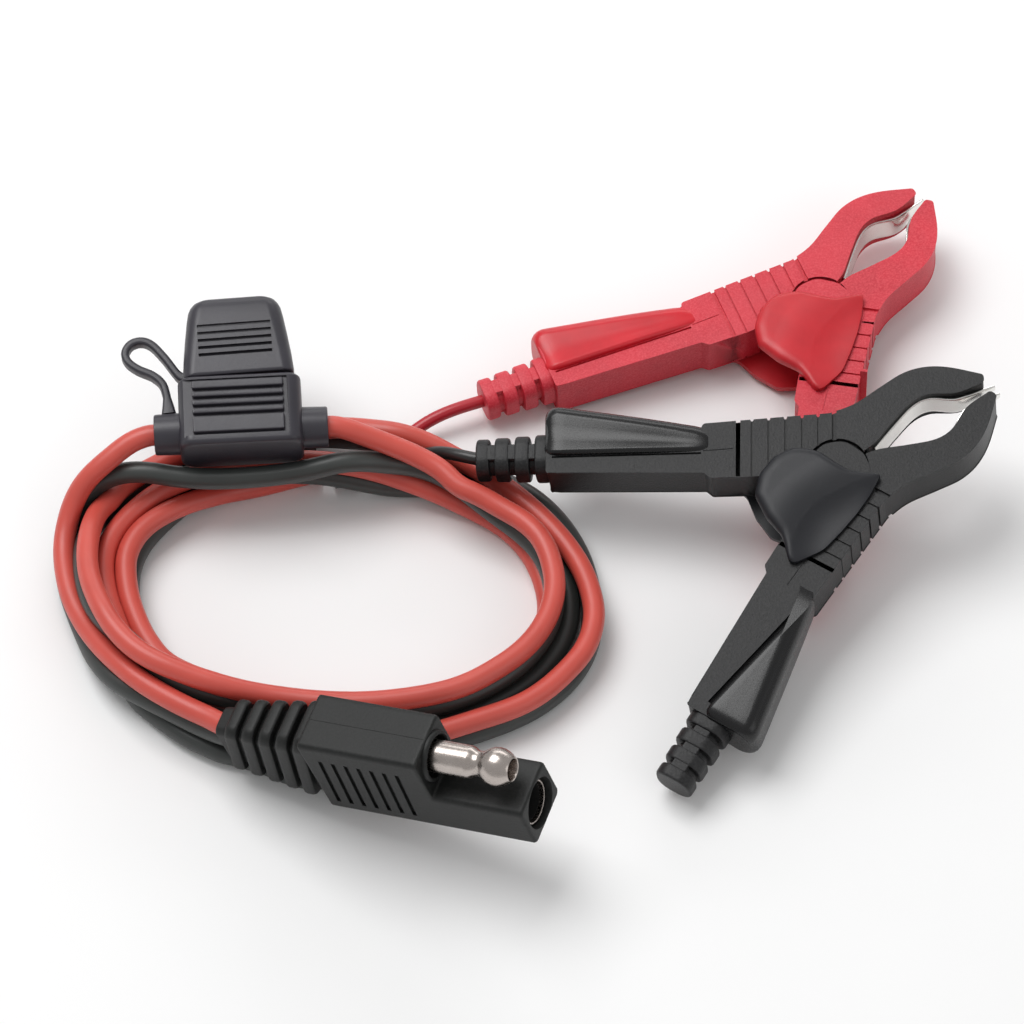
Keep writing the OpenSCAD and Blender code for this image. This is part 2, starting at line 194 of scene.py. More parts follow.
def settle_cord():
    """lays the conductors on the floor and on each other, with no two in the same place"""
    tube_l = [lay_pt(FUSE, [-x, 0, 0]) for x in (13.5, 12, 9.5)]
    tube_r = [lay_pt(FUSE, [x, 0, 0]) for x in (9.5, 12, 13.5)]
    boot = lambda z: [lay_pt(PLUG, [x, 0, z]) for x in (-28, -30, -32.4)]
    a = spline(laid(ROUTE_A, boot(1.5), tube_l), STEP)
    b = spline(laid(ROUTE_B, tube_r), STEP)
    ka, kb = beside(a), beside(b)
    cut_a = int(len(a) - round(19.5 / STEP))
    cut_b = 10
    under = [lay_pt(FUSE, p) for p in ([-17, -2.8, -2.4], [-12, -4.0, -3.2], [-8.7, -5.1, -3.4], [-4, -5.3, -3.4], [0, -5.3, -3.4],
                                       [4, -5.3, -3.4], [8.7, -5.1, -3.2], [12, -4.0, -3.0], [17, -2.8, -2.4])]
    k = spline(np.vstack([np.array(boot(-1.5)[:2]), ka[4:cut_a], under, kb[cut_b:]]), STEP)
    chains = [a[:, :3], b[:, :3], k, spline(LEAD_RED, 1.0), spline(LEAD_BLACK, 1.0)]
    radii, steps = [1.5, 1.5, 1.5, 0.9, 0.9], [STEP, STEP, STEP, 1, 1]
    off = np.r_[0, np.cumsum([len(c) for c in chains])]
    P = np.vstack(chains)
    N = len(P)
    R = np.concatenate([np.full(len(c), r) for c, r in zip(chains, radii)])
    cid = np.concatenate([np.full(len(c), i) for i, c in enumerate(chains)])
    arc = np.concatenate([np.arange(len(c)) * s for c, s in zip(chains, steps)])
    fixed = np.zeros(N, bool)
    fixed[off[0]:off[0] + 3] = fixed[off[1] - 3:off[1] + 3] = fixed[off[2]:off[2] + 3] = True
    fixed[off[4] - 11:off[4]] = fixed[off[5] - 9:off[5]] = True
    free = ~fixed
    ff = free.astype(float)
    pairs = []

    def couple(c, i0, i1, last, end):
        lo0 = last
        for i in range(i0, i1):
            lo, hi = max(lo0, last - 3), min(end, last + 8)
            last = lo + int(np.linalg.norm(P[off[2] + lo:off[2] + hi] - P[off[c] + i], axis=1).argmin())
            pairs.append((off[c] + i, off[2] + last))

    couple(0, 3, cut_a, 0, 200)
    near = np.linalg.norm(k - kb[cut_b], axis=1)
    cand = np.arange(cut_a - 6, cut_a + 30)
    couple(1, cut_b, len(b), int(cand[near[cand].argmin()]), len(k))
    pairs_a = np.array(pairs)
    mate = np.full(N, -1)
    mate[pairs_a[:, 0]] = pairs_a[:, 1]
    home = P.copy()
    ray = home - EYE
    ray /= np.linalg.norm(ray, axis=1)[:, None]
    wt = np.zeros(N)
    wt[:off[2]] = 0.2

    def out_of_box(fr, lo, hi, mask):
        q = (P - fr[1]) @ fr[0]
        lo, hi = np.array(lo)[None] - R[:, None], np.array(hi)[None] + R[:, None]
        for n in np.where(((q > lo) & (q < hi)).all(1) & mask)[0]:
            d = np.concatenate([q[n] - lo[n], hi[n] - q[n]])
            m = int(d.argmin())
            q[n, m % 3] = (lo if m < 3 else hi)[n, m % 3]
            P[n] = fr[0] @ q[n] + fr[1]

    def out_of_rod(p0, p1, r, mask):
        d = p1 - p0
        c = p0 + np.clip(((P - p0) @ d) / (d @ d), 0, 1)[:, None] * d
        v = P - c
        n = np.linalg.norm(v, axis=1)
        m = (n < R + r) & mask
        P[m] = c[m] + v[m] / np.maximum(n[m], 1e-6)[:, None] * (R + r)[m][:, None]

    in_boot = ((cid == 0) | (cid == 2)) & (arc < 12)
    in_tube = ((cid == 0) & (arc > len(a) * STEP - 8)) | ((cid == 1) & (arc < 8))
    tube = lay_pt(FUSE, [-12, 0, 0]), lay_pt(FUSE, [12, 0, 0])
    arms = [(lay_pt(f, arm(-50, 3.9)), lay_pt(f, arm(-38, 3.9))) for f in (RED, BLACK)]
    cand_i = cand_j = None
    total = 520
    for it in range(total):
        last = it > total - 60
        d = home - P
        along = (d * ray).sum(1)[:, None] * ray
        P += ff[:, None] * (wt[:, None] * (d - along) + 0.01 * along) * (0.3 if last else 1)
        for _ in range(2):
            i, j = pairs_a.T
            v = P[i] - P[j]
            n = np.linalg.norm(v, axis=1)
            c = ((3.0 - n) / n * np.where(n < 3.0, 0.5, 0.25))[:, None] * v
            np.add.at(P, i, c * ff[i][:, None])
            np.add.at(P, j, -c * ff[j][:, None])
        for c in range(5):
            s, f = P[off[c]:off[c + 1]], ff[off[c]:off[c + 1], None]
            lap = np.zeros_like(s)
            lap[2:-2] = (-s[:-4] + 4 * s[1:-3] + 4 * s[3:-1] - s[4:]) / 6 - s[2:-2]
            s += 0.3 * lap * f
            lap[:] = 0
            lap[1:-1] = (s[:-2] + s[2:]) / 2 - s[1:-1]
            # only a tight bend is opened, so a wide one keeps its size
            tight = np.clip(np.linalg.norm(lap, axis=1) / (steps[c] ** 2 / 2) - 1 / (11.0 if c < 3 else 8.0), 0, 1)[:, None]
            s += np.minimum(1.0, 6 * tight) * lap * f * 0.8
            v = s[1:] - s[:-1]
            n = np.linalg.norm(v, axis=1)
            corr = ((n - (steps[c] if c != 2 else np.median(n))) / n * 0.25)[:, None] * v
            s[:-1] += corr * f[:-1]
            s[1:] -= corr * f[1:]
        if it % 8 == 0:
            ci, cj = [], []
            for n0 in range(0, N, 200):
                D = np.linalg.norm(P[n0:n0 + 200, None] - P[None], axis=2)
                ii, jj = np.where(D < 4.6)
                ii = ii + n0
                m = ii < jj
                ci.append(ii[m])
                cj.append(jj[m])
            i, j = np.concatenate(ci), np.concatenate(cj)
            same = (cid[i] == cid[j]) & (np.abs(arc[i] - arc[j]) < 7)
            dup = ((mate[i] >= 0) & (cid[j] == 2) & (np.abs(mate[i] - j) < 5)) | (
                (mate[j] >= 0) & (cid[i] == 2) & (np.abs(mate[j] - i) < 5))
            ends = ((cid[i] < 3) & (cid[j] >= 3) & (arc[j] < 5)) | ((cid[j] < 3) & (cid[i] >= 3) & (arc[i] < 5))
            ok = ~same & ~dup & ~ends
            cand_i, cand_j = i[ok], j[ok]
        i, j = cand_i, cand_j
        v = P[i] - P[j]
        n = np.linalg.norm(v, axis=1)
        tgt = R[i] + R[j] + 0.03
        m = n < tgt
        i, j, v, n, tgt = i[m], j[m], v[m], n[m], tgt[m]
        w = np.maximum(ff[i] + ff[j], 1)
        c = ((tgt - n) / np.maximum(n, 1e-3) * 0.6)[:, None] * v
        np.add.at(P, i, c * (ff[i] / w)[:, None])
        np.add.at(P, j, -c * (ff[j] / w)[:, None])
        out_of_box(PLUG, (-17.6, -4.3, -7.65), (0, 4.3, 7.65), free & ~in_boot)
        out_of_box(PLUG, (-32.6, -3.9, -6.3), (-17, 3.9, 6.3), free & ~in_boot)
        out_of_box(PLUG, (0, -4.3, -9.2), (13, 4.3, 0), free & ~in_boot)
        out_of_box(FUSE, (-8.7, -3.5, -4.3), (8.7, 19.5, 4.8), free & ~in_tube)
        out_of_rod(tube[0], tube[1], 2.95, free & ~in_tube)
        for p0, p1 in arms:
            out_of_rod(p0, p1, 3.0, free & (cid < 3))
        i, j = pairs_a.T
        v = P[i] - P[j]
        n = np.linalg.norm(v, axis=1)
        c = (np.maximum(0, 3.0 - n) / n * 0.5)[:, None] * v
        np.add.at(P, i, c * ff[i][:, None])
        np.add.at(P, j, -c * ff[j][:, None])
        P[:, 2] = np.where(free, np.maximum(P[:, 2], R + 0.02), P[:, 2])
    return [P[off[c]:off[c + 1]].copy() for c in range(5)]


paths = settle_cord()


def length(P):
    return float(np.linalg.norm(np.diff(P, axis=0), axis=1).sum())


def cord_curve(name, P, d):
    """one open spline; P in layout millimetres"""
    P = spline(P, 0.75)
    Q = (P + SHIFT) * 0.001
    c = bpy.data.curves.new(name, "CURVE")
    c.dimensions = "3D"
    s = c.splines.new("POLY")
    s.points.add(len(Q) - 1)
    for p, q in zip(s.points, Q):
        p.co = (*q, 1)
    c.bevel_depth = d / 2000
    c.bevel_resolution = 7
    c.use_fill_caps = True
    o = bpy.data.objects.new(name, c)
    scene.collection.objects.link(o)
    return o, Q, length(P) * 0.001


# ------------------------------------------------------------------ materials
def material(name, build):
    m = bpy.data.materials.new(name)
    m.use_nodes = True
    nt = m.node_tree
    bsdf = nt.nodes["Principled BSDF"]
    build(nt, bsdf)
    return m


def node(nt, kind, **props):
    n = nt.nodes.new(kind)
    for k, v in props.items():
        if k in n.inputs:
            n.inputs[k].default_value = v
        else:
            setattr(n, k, v)
    return n


def ramp(nt, src, stops):
    r = nt.nodes.new("ShaderNodeValToRGB")
    e = r.color_ramp.elements
    while len(e) < len(stops):
        e.new(0.5)
    for el, (p, c) in zip(e, stops):
        el.position = p
        el.color = (*c, 1) if len(c) == 3 else c
    nt.links.new(src, r.inputs[0])
    return r


def noise(nt, scale, detail=3, rough=0.5, vec=None):
    if vec is None:
        t = nt.nodes.get("coords") or nt.nodes.new("ShaderNodeTexCoord")
        t.name = "coords"
        vec = t.outputs["Object"]
    n = node(nt, "ShaderNodeTexNoise", Scale=scale, Detail=detail, Roughness=rough)
    nt.links.new(vec, n.inputs["Vector"])
    return n


def bump(nt, src, strength, dist, into=None):
    b = node(nt, "ShaderNodeBump", Strength=strength, Distance=dist)
    nt.links.new(src, b.inputs["Height"])
    if into is not None:
        nt.links.new(into.outputs[0], b.inputs["Normal"])
    return b


def mix(c, k):
    return tuple(max(0.0, min(1.0, x * k)) for x in c)


def moulded(base, rough, grain, grain_scale, spread=0.12, lift=0.10, coat=0.0, spec=0.5, mottled=140):
    """textured moulded plastic: colour drift, fine grain in colour, roughness and relief, and a lighter colour along
    sharp convex edges
    """
    def build(nt, b):
        big = noise(nt, mottled, 3, 0.6)
        fine = noise(nt, grain_scale, 4, 0.65)
        r = ramp(nt, big.outputs["Fac"], [(0.3, mix(base, 1 - spread)), (0.7, mix(base, 1 + spread))])
        sp = ramp(nt, fine.outputs["Fac"], [(0.42, (0, 0, 0)), (0.72, (1, 1, 1))])
        m = nt.nodes.new("ShaderNodeMix")
        m.data_type = "RGBA"
        m.inputs["Factor"].default_value = 0.0
        nt.links.new(r.outputs[0], m.inputs["A"])
        m.inputs["B"].default_value = (*[min(1.0, x + lift * (0.4 + x)) for x in base], 1)
        k = node(nt, "ShaderNodeMath", operation="MULTIPLY")
        nt.links.new(sp.outputs[0], k.inputs[0])
        k.inputs[1].default_value = 0.55 if grain > 0.2 else 0.08
        nt.links.new(k.outputs[0], m.inputs["Factor"])
        geo = nt.nodes.new("ShaderNodeNewGeometry")
        edge = ramp(nt, geo.outputs["Pointiness"], [(0.52, (0, 0, 0)), (0.60, (1, 1, 1))])
        m2 = nt.nodes.new("ShaderNodeMix")
        m2.data_type = "RGBA"
        k2 = node(nt, "ShaderNodeMath", operation="MULTIPLY")
        nt.links.new(edge.outputs[0], k2.inputs[0])
        k2.inputs[1].default_value = 0.25
        nt.links.new(k2.outputs[0], m2.inputs["Factor"])
        nt.links.new(m.outputs["Result"], m2.inputs["A"])
        m2.inputs["B"].default_value = (*[min(1.0, x + lift * 0.5 * (0.4 + x)) for x in base], 1)
        nt.links.new(m2.outputs["Result"], b.inputs["Base Color"])
        rr = node(nt, "ShaderNodeMapRange", **{"To Min": rough - 0.06, "To Max": rough + 0.08})
        nt.links.new(fine.outputs["Fac"], rr.inputs["Value"])
        nt.links.new(rr.outputs[0], b.inputs["Roughness"])
        b1 = bump(nt, big.outputs["Fac"], 0.15, 0.0002)
        b2 = bump(nt, fine.outputs["Fac"], grain, 0.00012, b1)
        nt.links.new(b2.outputs[0], b.inputs["Normal"])
        b.inputs["Specular IOR Level"].default_value = spec
        b.inputs["Coat Weight"].default_value = coat
        b.inputs["Coat Roughness"].default_value = 0.25
    return build


def pvc(base, rough, sss=0.0, spread=0.08, spec=0.5):
    """soft extruded cable jacket: faint drawing lines, dust-dulled patches and a low sheen"""
    def build(nt, b):
        big = noise(nt, 90, 3, 0.6)
        fine = noise(nt, 1800, 4, 0.6)
        r = ramp(nt, big.outputs["Fac"], [(0.3, mix(base, 1 - spread)), (0.7, mix(base, 1 + spread))])
        nt.links.new(r.outputs[0], b.inputs["Base Color"])
        rr = node(nt, "ShaderNodeMapRange", **{"To Min": rough - 0.07, "To Max": rough + 0.07})
        nt.links.new(big.outputs["Fac"], rr.inputs["Value"])
        nt.links.new(rr.outputs[0], b.inputs["Roughness"])
        b1 = bump(nt, fine.outputs["Fac"], 0.12, 0.00008)
        nt.links.new(b1.outputs[0], b.inputs["Normal"])
        b.inputs["Specular IOR Level"].default_value = spec
        if sss:
            b.inputs["Subsurface Weight"].default_value = sss
            b.inputs["Subsurface Radius"].default_value = (0.0015, 0.0005, 0.0004)
            b.inputs["Subsurface Scale"].default_value = 1.0
    return build


def metal(base, rough, dirt=0.25, scratch=0.3, scale=900, tint=(0.35, 0.30, 0.26)):
    """plated metal: fine scratches, a cloudy roughness and darker tarnish in patches"""
    def build(nt, b):
        big = noise(nt, 260, 4, 0.65)
        t = nt.nodes["coords"]
        mp = node(nt, "ShaderNodeMapping")
        mp.inputs["Scale"].default_value = (1, 1, 6)
        nt.links.new(t.outputs["Object"], mp.inputs["Vector"])
        fine = noise(nt, scale, 5, 0.7, mp.outputs[0])
        r = ramp(nt, big.outputs["Fac"], [(0.35, base), (0.75, tuple(x * (1 - dirt) + y * dirt for x, y in zip(base, tint)))])
        nt.links.new(r.outputs[0], b.inputs["Base Color"])
        b.inputs["Metallic"].default_value = 1.0
        rr = node(nt, "ShaderNodeMapRange", **{"To Min": max(0.04, rough - 0.08), "To Max": rough + 0.12})
        nt.links.new(fine.outputs["Fac"], rr.inputs["Value"])
        nt.links.new(rr.outputs[0], b.inputs["Roughness"])
        b1 = bump(nt, fine.outputs["Fac"], scratch, 0.00003)
        nt.links.new(b1.outputs[0], b.inputs["Normal"])
    return build


MAT = {
    "cord_red": material("cord_red", pvc((0.56, 0.078, 0.058), 0.40, 0.08)),
    "cord_black": material("cord_black", pvc((0.036, 0.040, 0.038), 0.42)),
    "lead_red": material("lead_red", pvc((0.42, 0.010, 0.022), 0.34)),
    "lead_black": material("lead_black", pvc((0.014, 0.013, 0.013), 0.34)),
    "clamp_red": material("clamp_red", moulded((0.55, 0.010, 0.028), 0.46, 0.40, 3600, lift=0.22)),
    "clamp_red_gloss": material("clamp_red_gloss", moulded((0.54, 0.006, 0.016), 0.34, 0.06, 3600, lift=0.03)),
    "clamp_black": material("clamp_black", moulded((0.0060, 0.0060, 0.0066), 0.42, 0.50, 3200, lift=0.07, spec=0.32)),
    "clamp_black_gloss": material("clamp_black_gloss", moulded((0.0045, 0.0045, 0.0050), 0.26, 0.06, 3600, lift=0.01, spec=0.40)),
    "rubber": material("connector_rubber", moulded((0.0065, 0.0072, 0.0068), 0.50, 0.30, 2600, lift=0.03, spec=0.34)),
    "fuse_grey": material("fuse_grey", moulded((0.027, 0.025, 0.033), 0.38, 0.14, 2600, lift=0.02)),
    "nickel": material("pin_nickel", metal((0.50, 0.45, 0.42), 0.24, 0.40, 0.35, 700)),
    "contact": material("contact_steel", metal((0.86, 0.85, 0.82), 0.14, 0.15, 0.15, 900)),
    "steel": material("pin_steel", metal((0.55, 0.55, 0.56), 0.30)),
    "brass": material("clip_brass", metal((0.72, 0.55, 0.26), 0.30)),
    "blade": material("fuse_blade", metal((0.72, 0.72, 0.70), 0.26)),
    "fuse_plastic": material("fuse_plastic", pvc((0.75, 0.22, 0.03), 0.22, 0.2)),
}
SLOT = {"cord_red": "cord_red", "cord_black": "cord_black", "lead_red": "lead_red", "lead_black": "lead_black",
        "clamp_red": "clamp_red", "clamp_red_gloss": "clamp_red", "clamp_black": "clamp_black",
        "clamp_black_gloss": "clamp_black", "rubber": "connector_rubber", "fuse_grey": "fuse_grey", "nickel": "pin_nickel",
        "contact": "contact_steel", "steel": "pin_steel", "brass": "clip_brass", "blade": "fuse_blade",
        "fuse_plastic": "fuse_plastic", "spring": "spring_steel"}
# near-black material that paints the shadow inside the socket bore
MAT["dark"] = material("socket_painted_shadow", pvc((0.004, 0.004, 0.004), 0.8))
SLOT["dark"] = "connector_rubber"
MAT["clamp_red_guard"] = material("clamp_red_guard", moulded((0.50, 0.012, 0.020), 0.40, 0.10, 3000, lift=0.05))
MAT["clamp_black_guard"] = material("clamp_black_guard", moulded((0.0105, 0.011, 0.014), 0.44, 0.10, 3000, lift=0.02, spec=0.36))
SLOT["clamp_red_guard"], SLOT["clamp_black_guard"] = "clamp_red", "clamp_black"
MAT["spring"] = material("spring_steel", metal((0.50, 0.50, 0.51), 0.28))


def dress(o, key, body, *nodes):
    o.data.materials.clear()
    o.data.materials.append(MAT[key])
    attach(o, body)
    if nodes:
        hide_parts(*nodes)
    return o


# ------------------------------------------------------------------ the cords
red_a, Qa, La = cord_curve("cord_red_plug_to_fuse", paths[0], 3.0)
red_b, Qb, Lb = cord_curve("cord_red_fuse_to_clamps", paths[1], 3.0)
black, Qk, Lk = cord_curve("cord_black", paths[2], 3.0)
lead_r, Qr, Lr = cord_curve("lead_red_wire", paths[3], 1.8)
lead_k, Qkk, Lkk = cord_curve("lead_black_wire", paths[4], 1.8)
dress(red_a, "cord_red", "lead_set", "cord_fuse_end")
dress(red_b, "cord_red", "lead_set", "cord_coil", "cord_upper_turn")
dress(black, "cord_black", "lead_set", "cord_connector_end")
dress(lead_r, "lead_red", "lead_set", "lead_red")
dress(lead_k, "lead_black", "lead_set", "lead_black")


# ------------------------------------------------------------------ mesh tools
def obj_from(bm, name, m):
    """a mesh object at the origin, its local millimetres taken to the row frame"""
    bmesh.ops.recalc_face_normals(bm, faces=bm.faces)
    bm.transform(m)
    if m.determinant() < 0:
        bmesh.ops.reverse_faces(bm, faces=bm.faces)
    me = bpy.data.meshes.new(name)
    bm.to_mesh(me)
    bm.free()
    o = bpy.data.objects.new(name, me)
    scene.collection.objects.link(o)
    return o


def fillet(poly, radii, n=5):
    """rounds the corners of an outline; radii is one number or one for each corner"""
    out = []
    N = len(poly)
    if not hasattr(radii, "__len__"):
        radii = [radii] * N
    for i in range(N):
        p, a, b = (np.array(poly[k % N], float) for k in (i, i - 1, i + 1))
        u, v = a - p, b - p
        lu, lv = np.linalg.norm(u), np.linalg.norm(v)
        u, v = u / lu, v / lv
        ang = math.acos(max(-1, min(1, float(u @ v))))
        r = radii[i]
        if r <= 0 or ang > math.radians(177):
            out.append(tuple(p))
            continue
        t = min(r / math.tan(ang / 2), 0.48 * min(lu, lv))
        r = t * math.tan(ang / 2)
        c = p + (u + v) / np.linalg.norm(u + v) * (r / math.sin(ang / 2))
        p0, p1 = p + u * t, p + v * t
        a0 = math.atan2(*(p0 - c)[::-1])
        a1 = math.atan2(*(p1 - c)[::-1])
        da = (a1 - a0 + math.pi) % (2 * math.pi) - math.pi
        m = max(2, int(math.ceil(abs(da) / math.radians(14))))
        for k in range(m + 1):
            q = a0 + da * k / m
            out.append((c[0] + r * math.cos(q), c[1] + r * math.sin(q)))
    return out


def prism(bm, poly, z0, z1, bevel=0.0, seg=3, local=None, only=None):
    """an outline raised from z0 to z1, with both rims rounded"""
    vb = [bm.verts.new((x, y, z0)) for x, y in poly]
    vt = [bm.verts.new((x, y, z1)) for x, y in poly]
    fb = bm.faces.new(vb[::-1])
    ft = bm.faces.new(vt)
    n = len(poly)
    for i in range(n):
        bm.faces.new((vb[i], vb[(i + 1) % n], vt[(i + 1) % n], vt[i]))
    new = vb + vt
    if bevel > 0:
        faces = {"both": (fb, ft), "top": (ft,), "bottom": (fb,)}[only or "both"]
        edges = [e for f in faces for e in f.edges]
        area = sum((poly[i][0] * poly[(i + 1) % n][1] - poly[(i + 1) % n][0] * poly[i][1]) for i in range(n))
        bmesh.ops.recalc_face_normals(bm, faces=[f for f in bm.faces if any(v in f.verts for v in (vb[0], vt[0]))] or bm.faces)
        res = bmesh.ops.bevel(bm, geom=edges, offset=bevel, offset_type="OFFSET", segments=seg, profile=0.5, affect="EDGES",
                              clamp_overlap=True)
        new = list({v for f in res["faces"] for v in f.verts} | {v for v in new if v.is_valid})
        more = set(new)
        grow = True
        while grow:
            grow = False
            for v in list(more):
                for e in v.link_edges:
                    w = e.other_vert(v)
                    if w not in more:
                        more.add(w)
                        grow = True
        new = list(more)
    if local is not None:
        bmesh.ops.transform(bm, matrix=local, verts=new)
    return new


def merge(dst, src_fn, local=None):
    """builds a shell on its own, so that its bevels touch nothing else, and adds it"""
    b = bmesh.new()
    src_fn(b)
    bmesh.ops.recalc_face_normals(b, faces=b.faces)
    if local is not None:
        b.transform(local)
        if local.determinant() < 0:
            bmesh.ops.reverse_faces(b, faces=b.faces)
    me = bpy.data.meshes.new("tmp")
    b.to_mesh(me)
    b.free()
    dst.from_mesh(me)
    bpy.data.meshes.remove(me)


def rrect(w, h, r, n=6, cx=0.0, cy=0.0):
    pts = []
    for sx, sy, a in ((1, 1, 0), (-1, 1, 90), (-1, -1, 180), (1, -1, 270)):
        for k in range(n + 1):
            q = math.radians(a + 90 * k / n)
            pts.append((cx + sx * (w / 2 - r) + r * math.cos(q), cy + sy * (h / 2 - r) + r * math.sin(q)))
    return pts


def loft(bm, rings, close=True):
    """skins rings of equal length; the first and last are capped"""
    vs = [[bm.verts.new(p) for p in ring] for ring in rings]
    n = len(rings[0])
    for a, b in zip(vs, vs[1:]):
        for i in range(n):
            bm.faces.new((a[i], a[(i + 1) % n], b[(i + 1) % n], b[i]))
    if close:
        bm.faces.new(vs[0][::-1])
        bm.faces.new(vs[-1])
    return vs


def turned(bm, profile, n=64, axis="X"):
    """a solid of revolution about X from (x, r) points, ends closed"""
    rings = []
    for x, r in profile:
        rings.append([(x, r * math.cos(2 * math.pi * k / n), r * math.sin(2 * math.pi * k / n)) for k in range(n)])
    loft(bm, rings)


def wire(bm, pts, r, n=12, caps=True):
    """a round wire along points"""
    P = np.array(pts, float)
    T = np.gradient(P, axis=0)
    T /= np.linalg.norm(T, axis=1)[:, None]
    u = np.cross(T[0], [0, 0, 1.0])
    if np.linalg.norm(u) < 0.1:
        u = np.cross(T[0], [0, 1.0, 0])
    u /= np.linalg.norm(u)
    rings = []
    for p, t in zip(P, T):
        u = u - (u @ t) * t
        u /= np.linalg.norm(u)
        w = np.cross(t, u)
        rings.append([tuple(p + r * (math.cos(2 * math.pi * k / n) * u + math.sin(2 * math.pi * k / n) * w)) for k in range(n)])
    loft(bm, rings, caps)


def boxes_object(name, boxes, m):
    """a cutter: many separate boxes given as (matrix, size)"""
    bm = bmesh.new()
    for local, size in boxes:
        merge(bm, lambda b, s=size: bmesh.ops.create_cube(b, size=1.0, matrix=Matrix.Diagonal((*s, 1))), local)
    return obj_from(bm, name, m)


def apply_mod(o, kind, **props):
    md = o.modifiers.new("m", kind)
    for k, v in props.items():
        setattr(md, k, v)
    dg = bpy.context.evaluated_depsgraph_get()
    me = bpy.data.meshes.new_from_object(o.evaluated_get(dg))
    old = o.data
    o.modifiers.clear()
    o.data = me
    me.name = old.name
    bpy.data.meshes.remove(old)
    return o


def cut(o, cutter, op="DIFFERENCE"):
    apply_mod(o, "BOOLEAN", operation=op, object=cutter, solver="EXACT")
    me = cutter.data
    bpy.data.objects.remove(cutter)
    bpy.data.meshes.remove(me)
    return o


def soften(o, width, seg=2, angle=30):
    return apply_mod(o, "BEVEL", width=width, segments=seg, limit_method="ANGLE", angle_limit=math.radians(angle),
                     miter_outer="MITER_ARC", use_clamp_overlap=True)


def smooth(o, angle=35, flat=None):
    me = o.data
    me.shade_smooth()
    if flat:
        # the broad flat faces stay flat, so the lines cut in them don't pull their shading
        limit = flat * sum(p.area for p in me.polygons)
        for p in me.polygons:
            p.use_smooth = p.area < limit
    me.set_sharp_from_angle(angle=math.radians(angle))
    return apply_mod(o, "WEIGHTED_NORMAL", keep_sharp=True, weight=50, mode="FACE_AREA")


T = Matrix.Translation


def rz(a):
    return Matrix.Rotation(math.radians(a), 4, "Z")


def rx(a):
    return Matrix.Rotation(math.radians(a), 4, "X")


def ry(a):
    return Matrix.Rotation(math.radians(a), 4, "Y")


# ------------------------------------------------------------------ clamps
ARM_OUT = [(-40.2, 0.3), (-40.2, 10.2), (-39.6, 10.8), (-21.4, 7.6), (-20.6, 7.3), (-1, 8.1), (2.4, 9.3), (5.9, 11.7),
           (9.1, 14), (12.1, 14.7), (15.4, 14.6), (20, 13.4), (20.1, 12.4), (16.4, 10.7), (12.6, 10.9), (10.1, 9.7),
           (7.5, 6.7), (5, 3.5), (3.2, 2.2), (0, 3), (-4.6, -0.4), (-11.6, -1), (-17.4, -1), (-18.3, -0.2), (-38.6, 0.2)]
ARM_RAD = [1.2, 1.4, 1.4, 3, 3, 8, 6, 10, 5, 4, 5, 0.35, 0.35, 3, 3, 4, 5, 3, 1.2, 1.0, 1.0, 0.5, 0.5, 0.5, 1.2]
GUARD = [(-10.5, -3.9), (-7.6, -6.4), (-1.8, -7), (1.2, -4.2), (5.7, 1.9), (2.6, 4.6), (-1.2, 6.2), (-5.9, 7.6),
         (-11.9, 6.8), (-10.6, 2.7), (-11.2, -0.7)]
GUARD_SEEN = [(-11.9, -1.8), (-9.8, -4.2), (-6.8, -5.4), (-4.2, -5.3), (-2.8, -4.5), (-1.2, -3), (-0.2, -0.6), (1, 1.8), (4.4, 4.4), (1.6, 6.2),
              (-1.2, 7.6), (-4.2, 8.8), (-7.8, 10), (-13.0, 9.7), (-12.1, 7.0), (-11.7, 5.2), (-12.2, 2)]
HALF_T = 3.2


def flow(pts, step=0.7):
    return [(float(x), float(y)) for x, y, _ in spline([(x, y, 0) for x, y in pts], step)]


# the handle's outer edge, given way to the finger pad
CORE_OUT = ([(-40.0, 0.3), (-40.0, 9.0), (-39.2, 9.4), (-22.4, 6.5), (-18.6, 6.3), (-18.4, 7.05)]
            + flow([(-1, 8.1), (2.4, 9.4), (5.9, 11.8), (9.1, 13.9), (12.1, 14.75), (15.4, 14.6), (20, 13.4)])
            + flow([(20.1, 12.4), (16.4, 10.9), (12.6, 10.8), (10.1, 9.6), (7.5, 6.7), (5, 3.6), (3.2, 2.2)])
            + [(0, 3), (-4.6, -0.4), (-11.6, -1), (-17.4, -1), (-18.3, -0.2), (-38.6, 0.2)])
CORE_RAD = 0.5


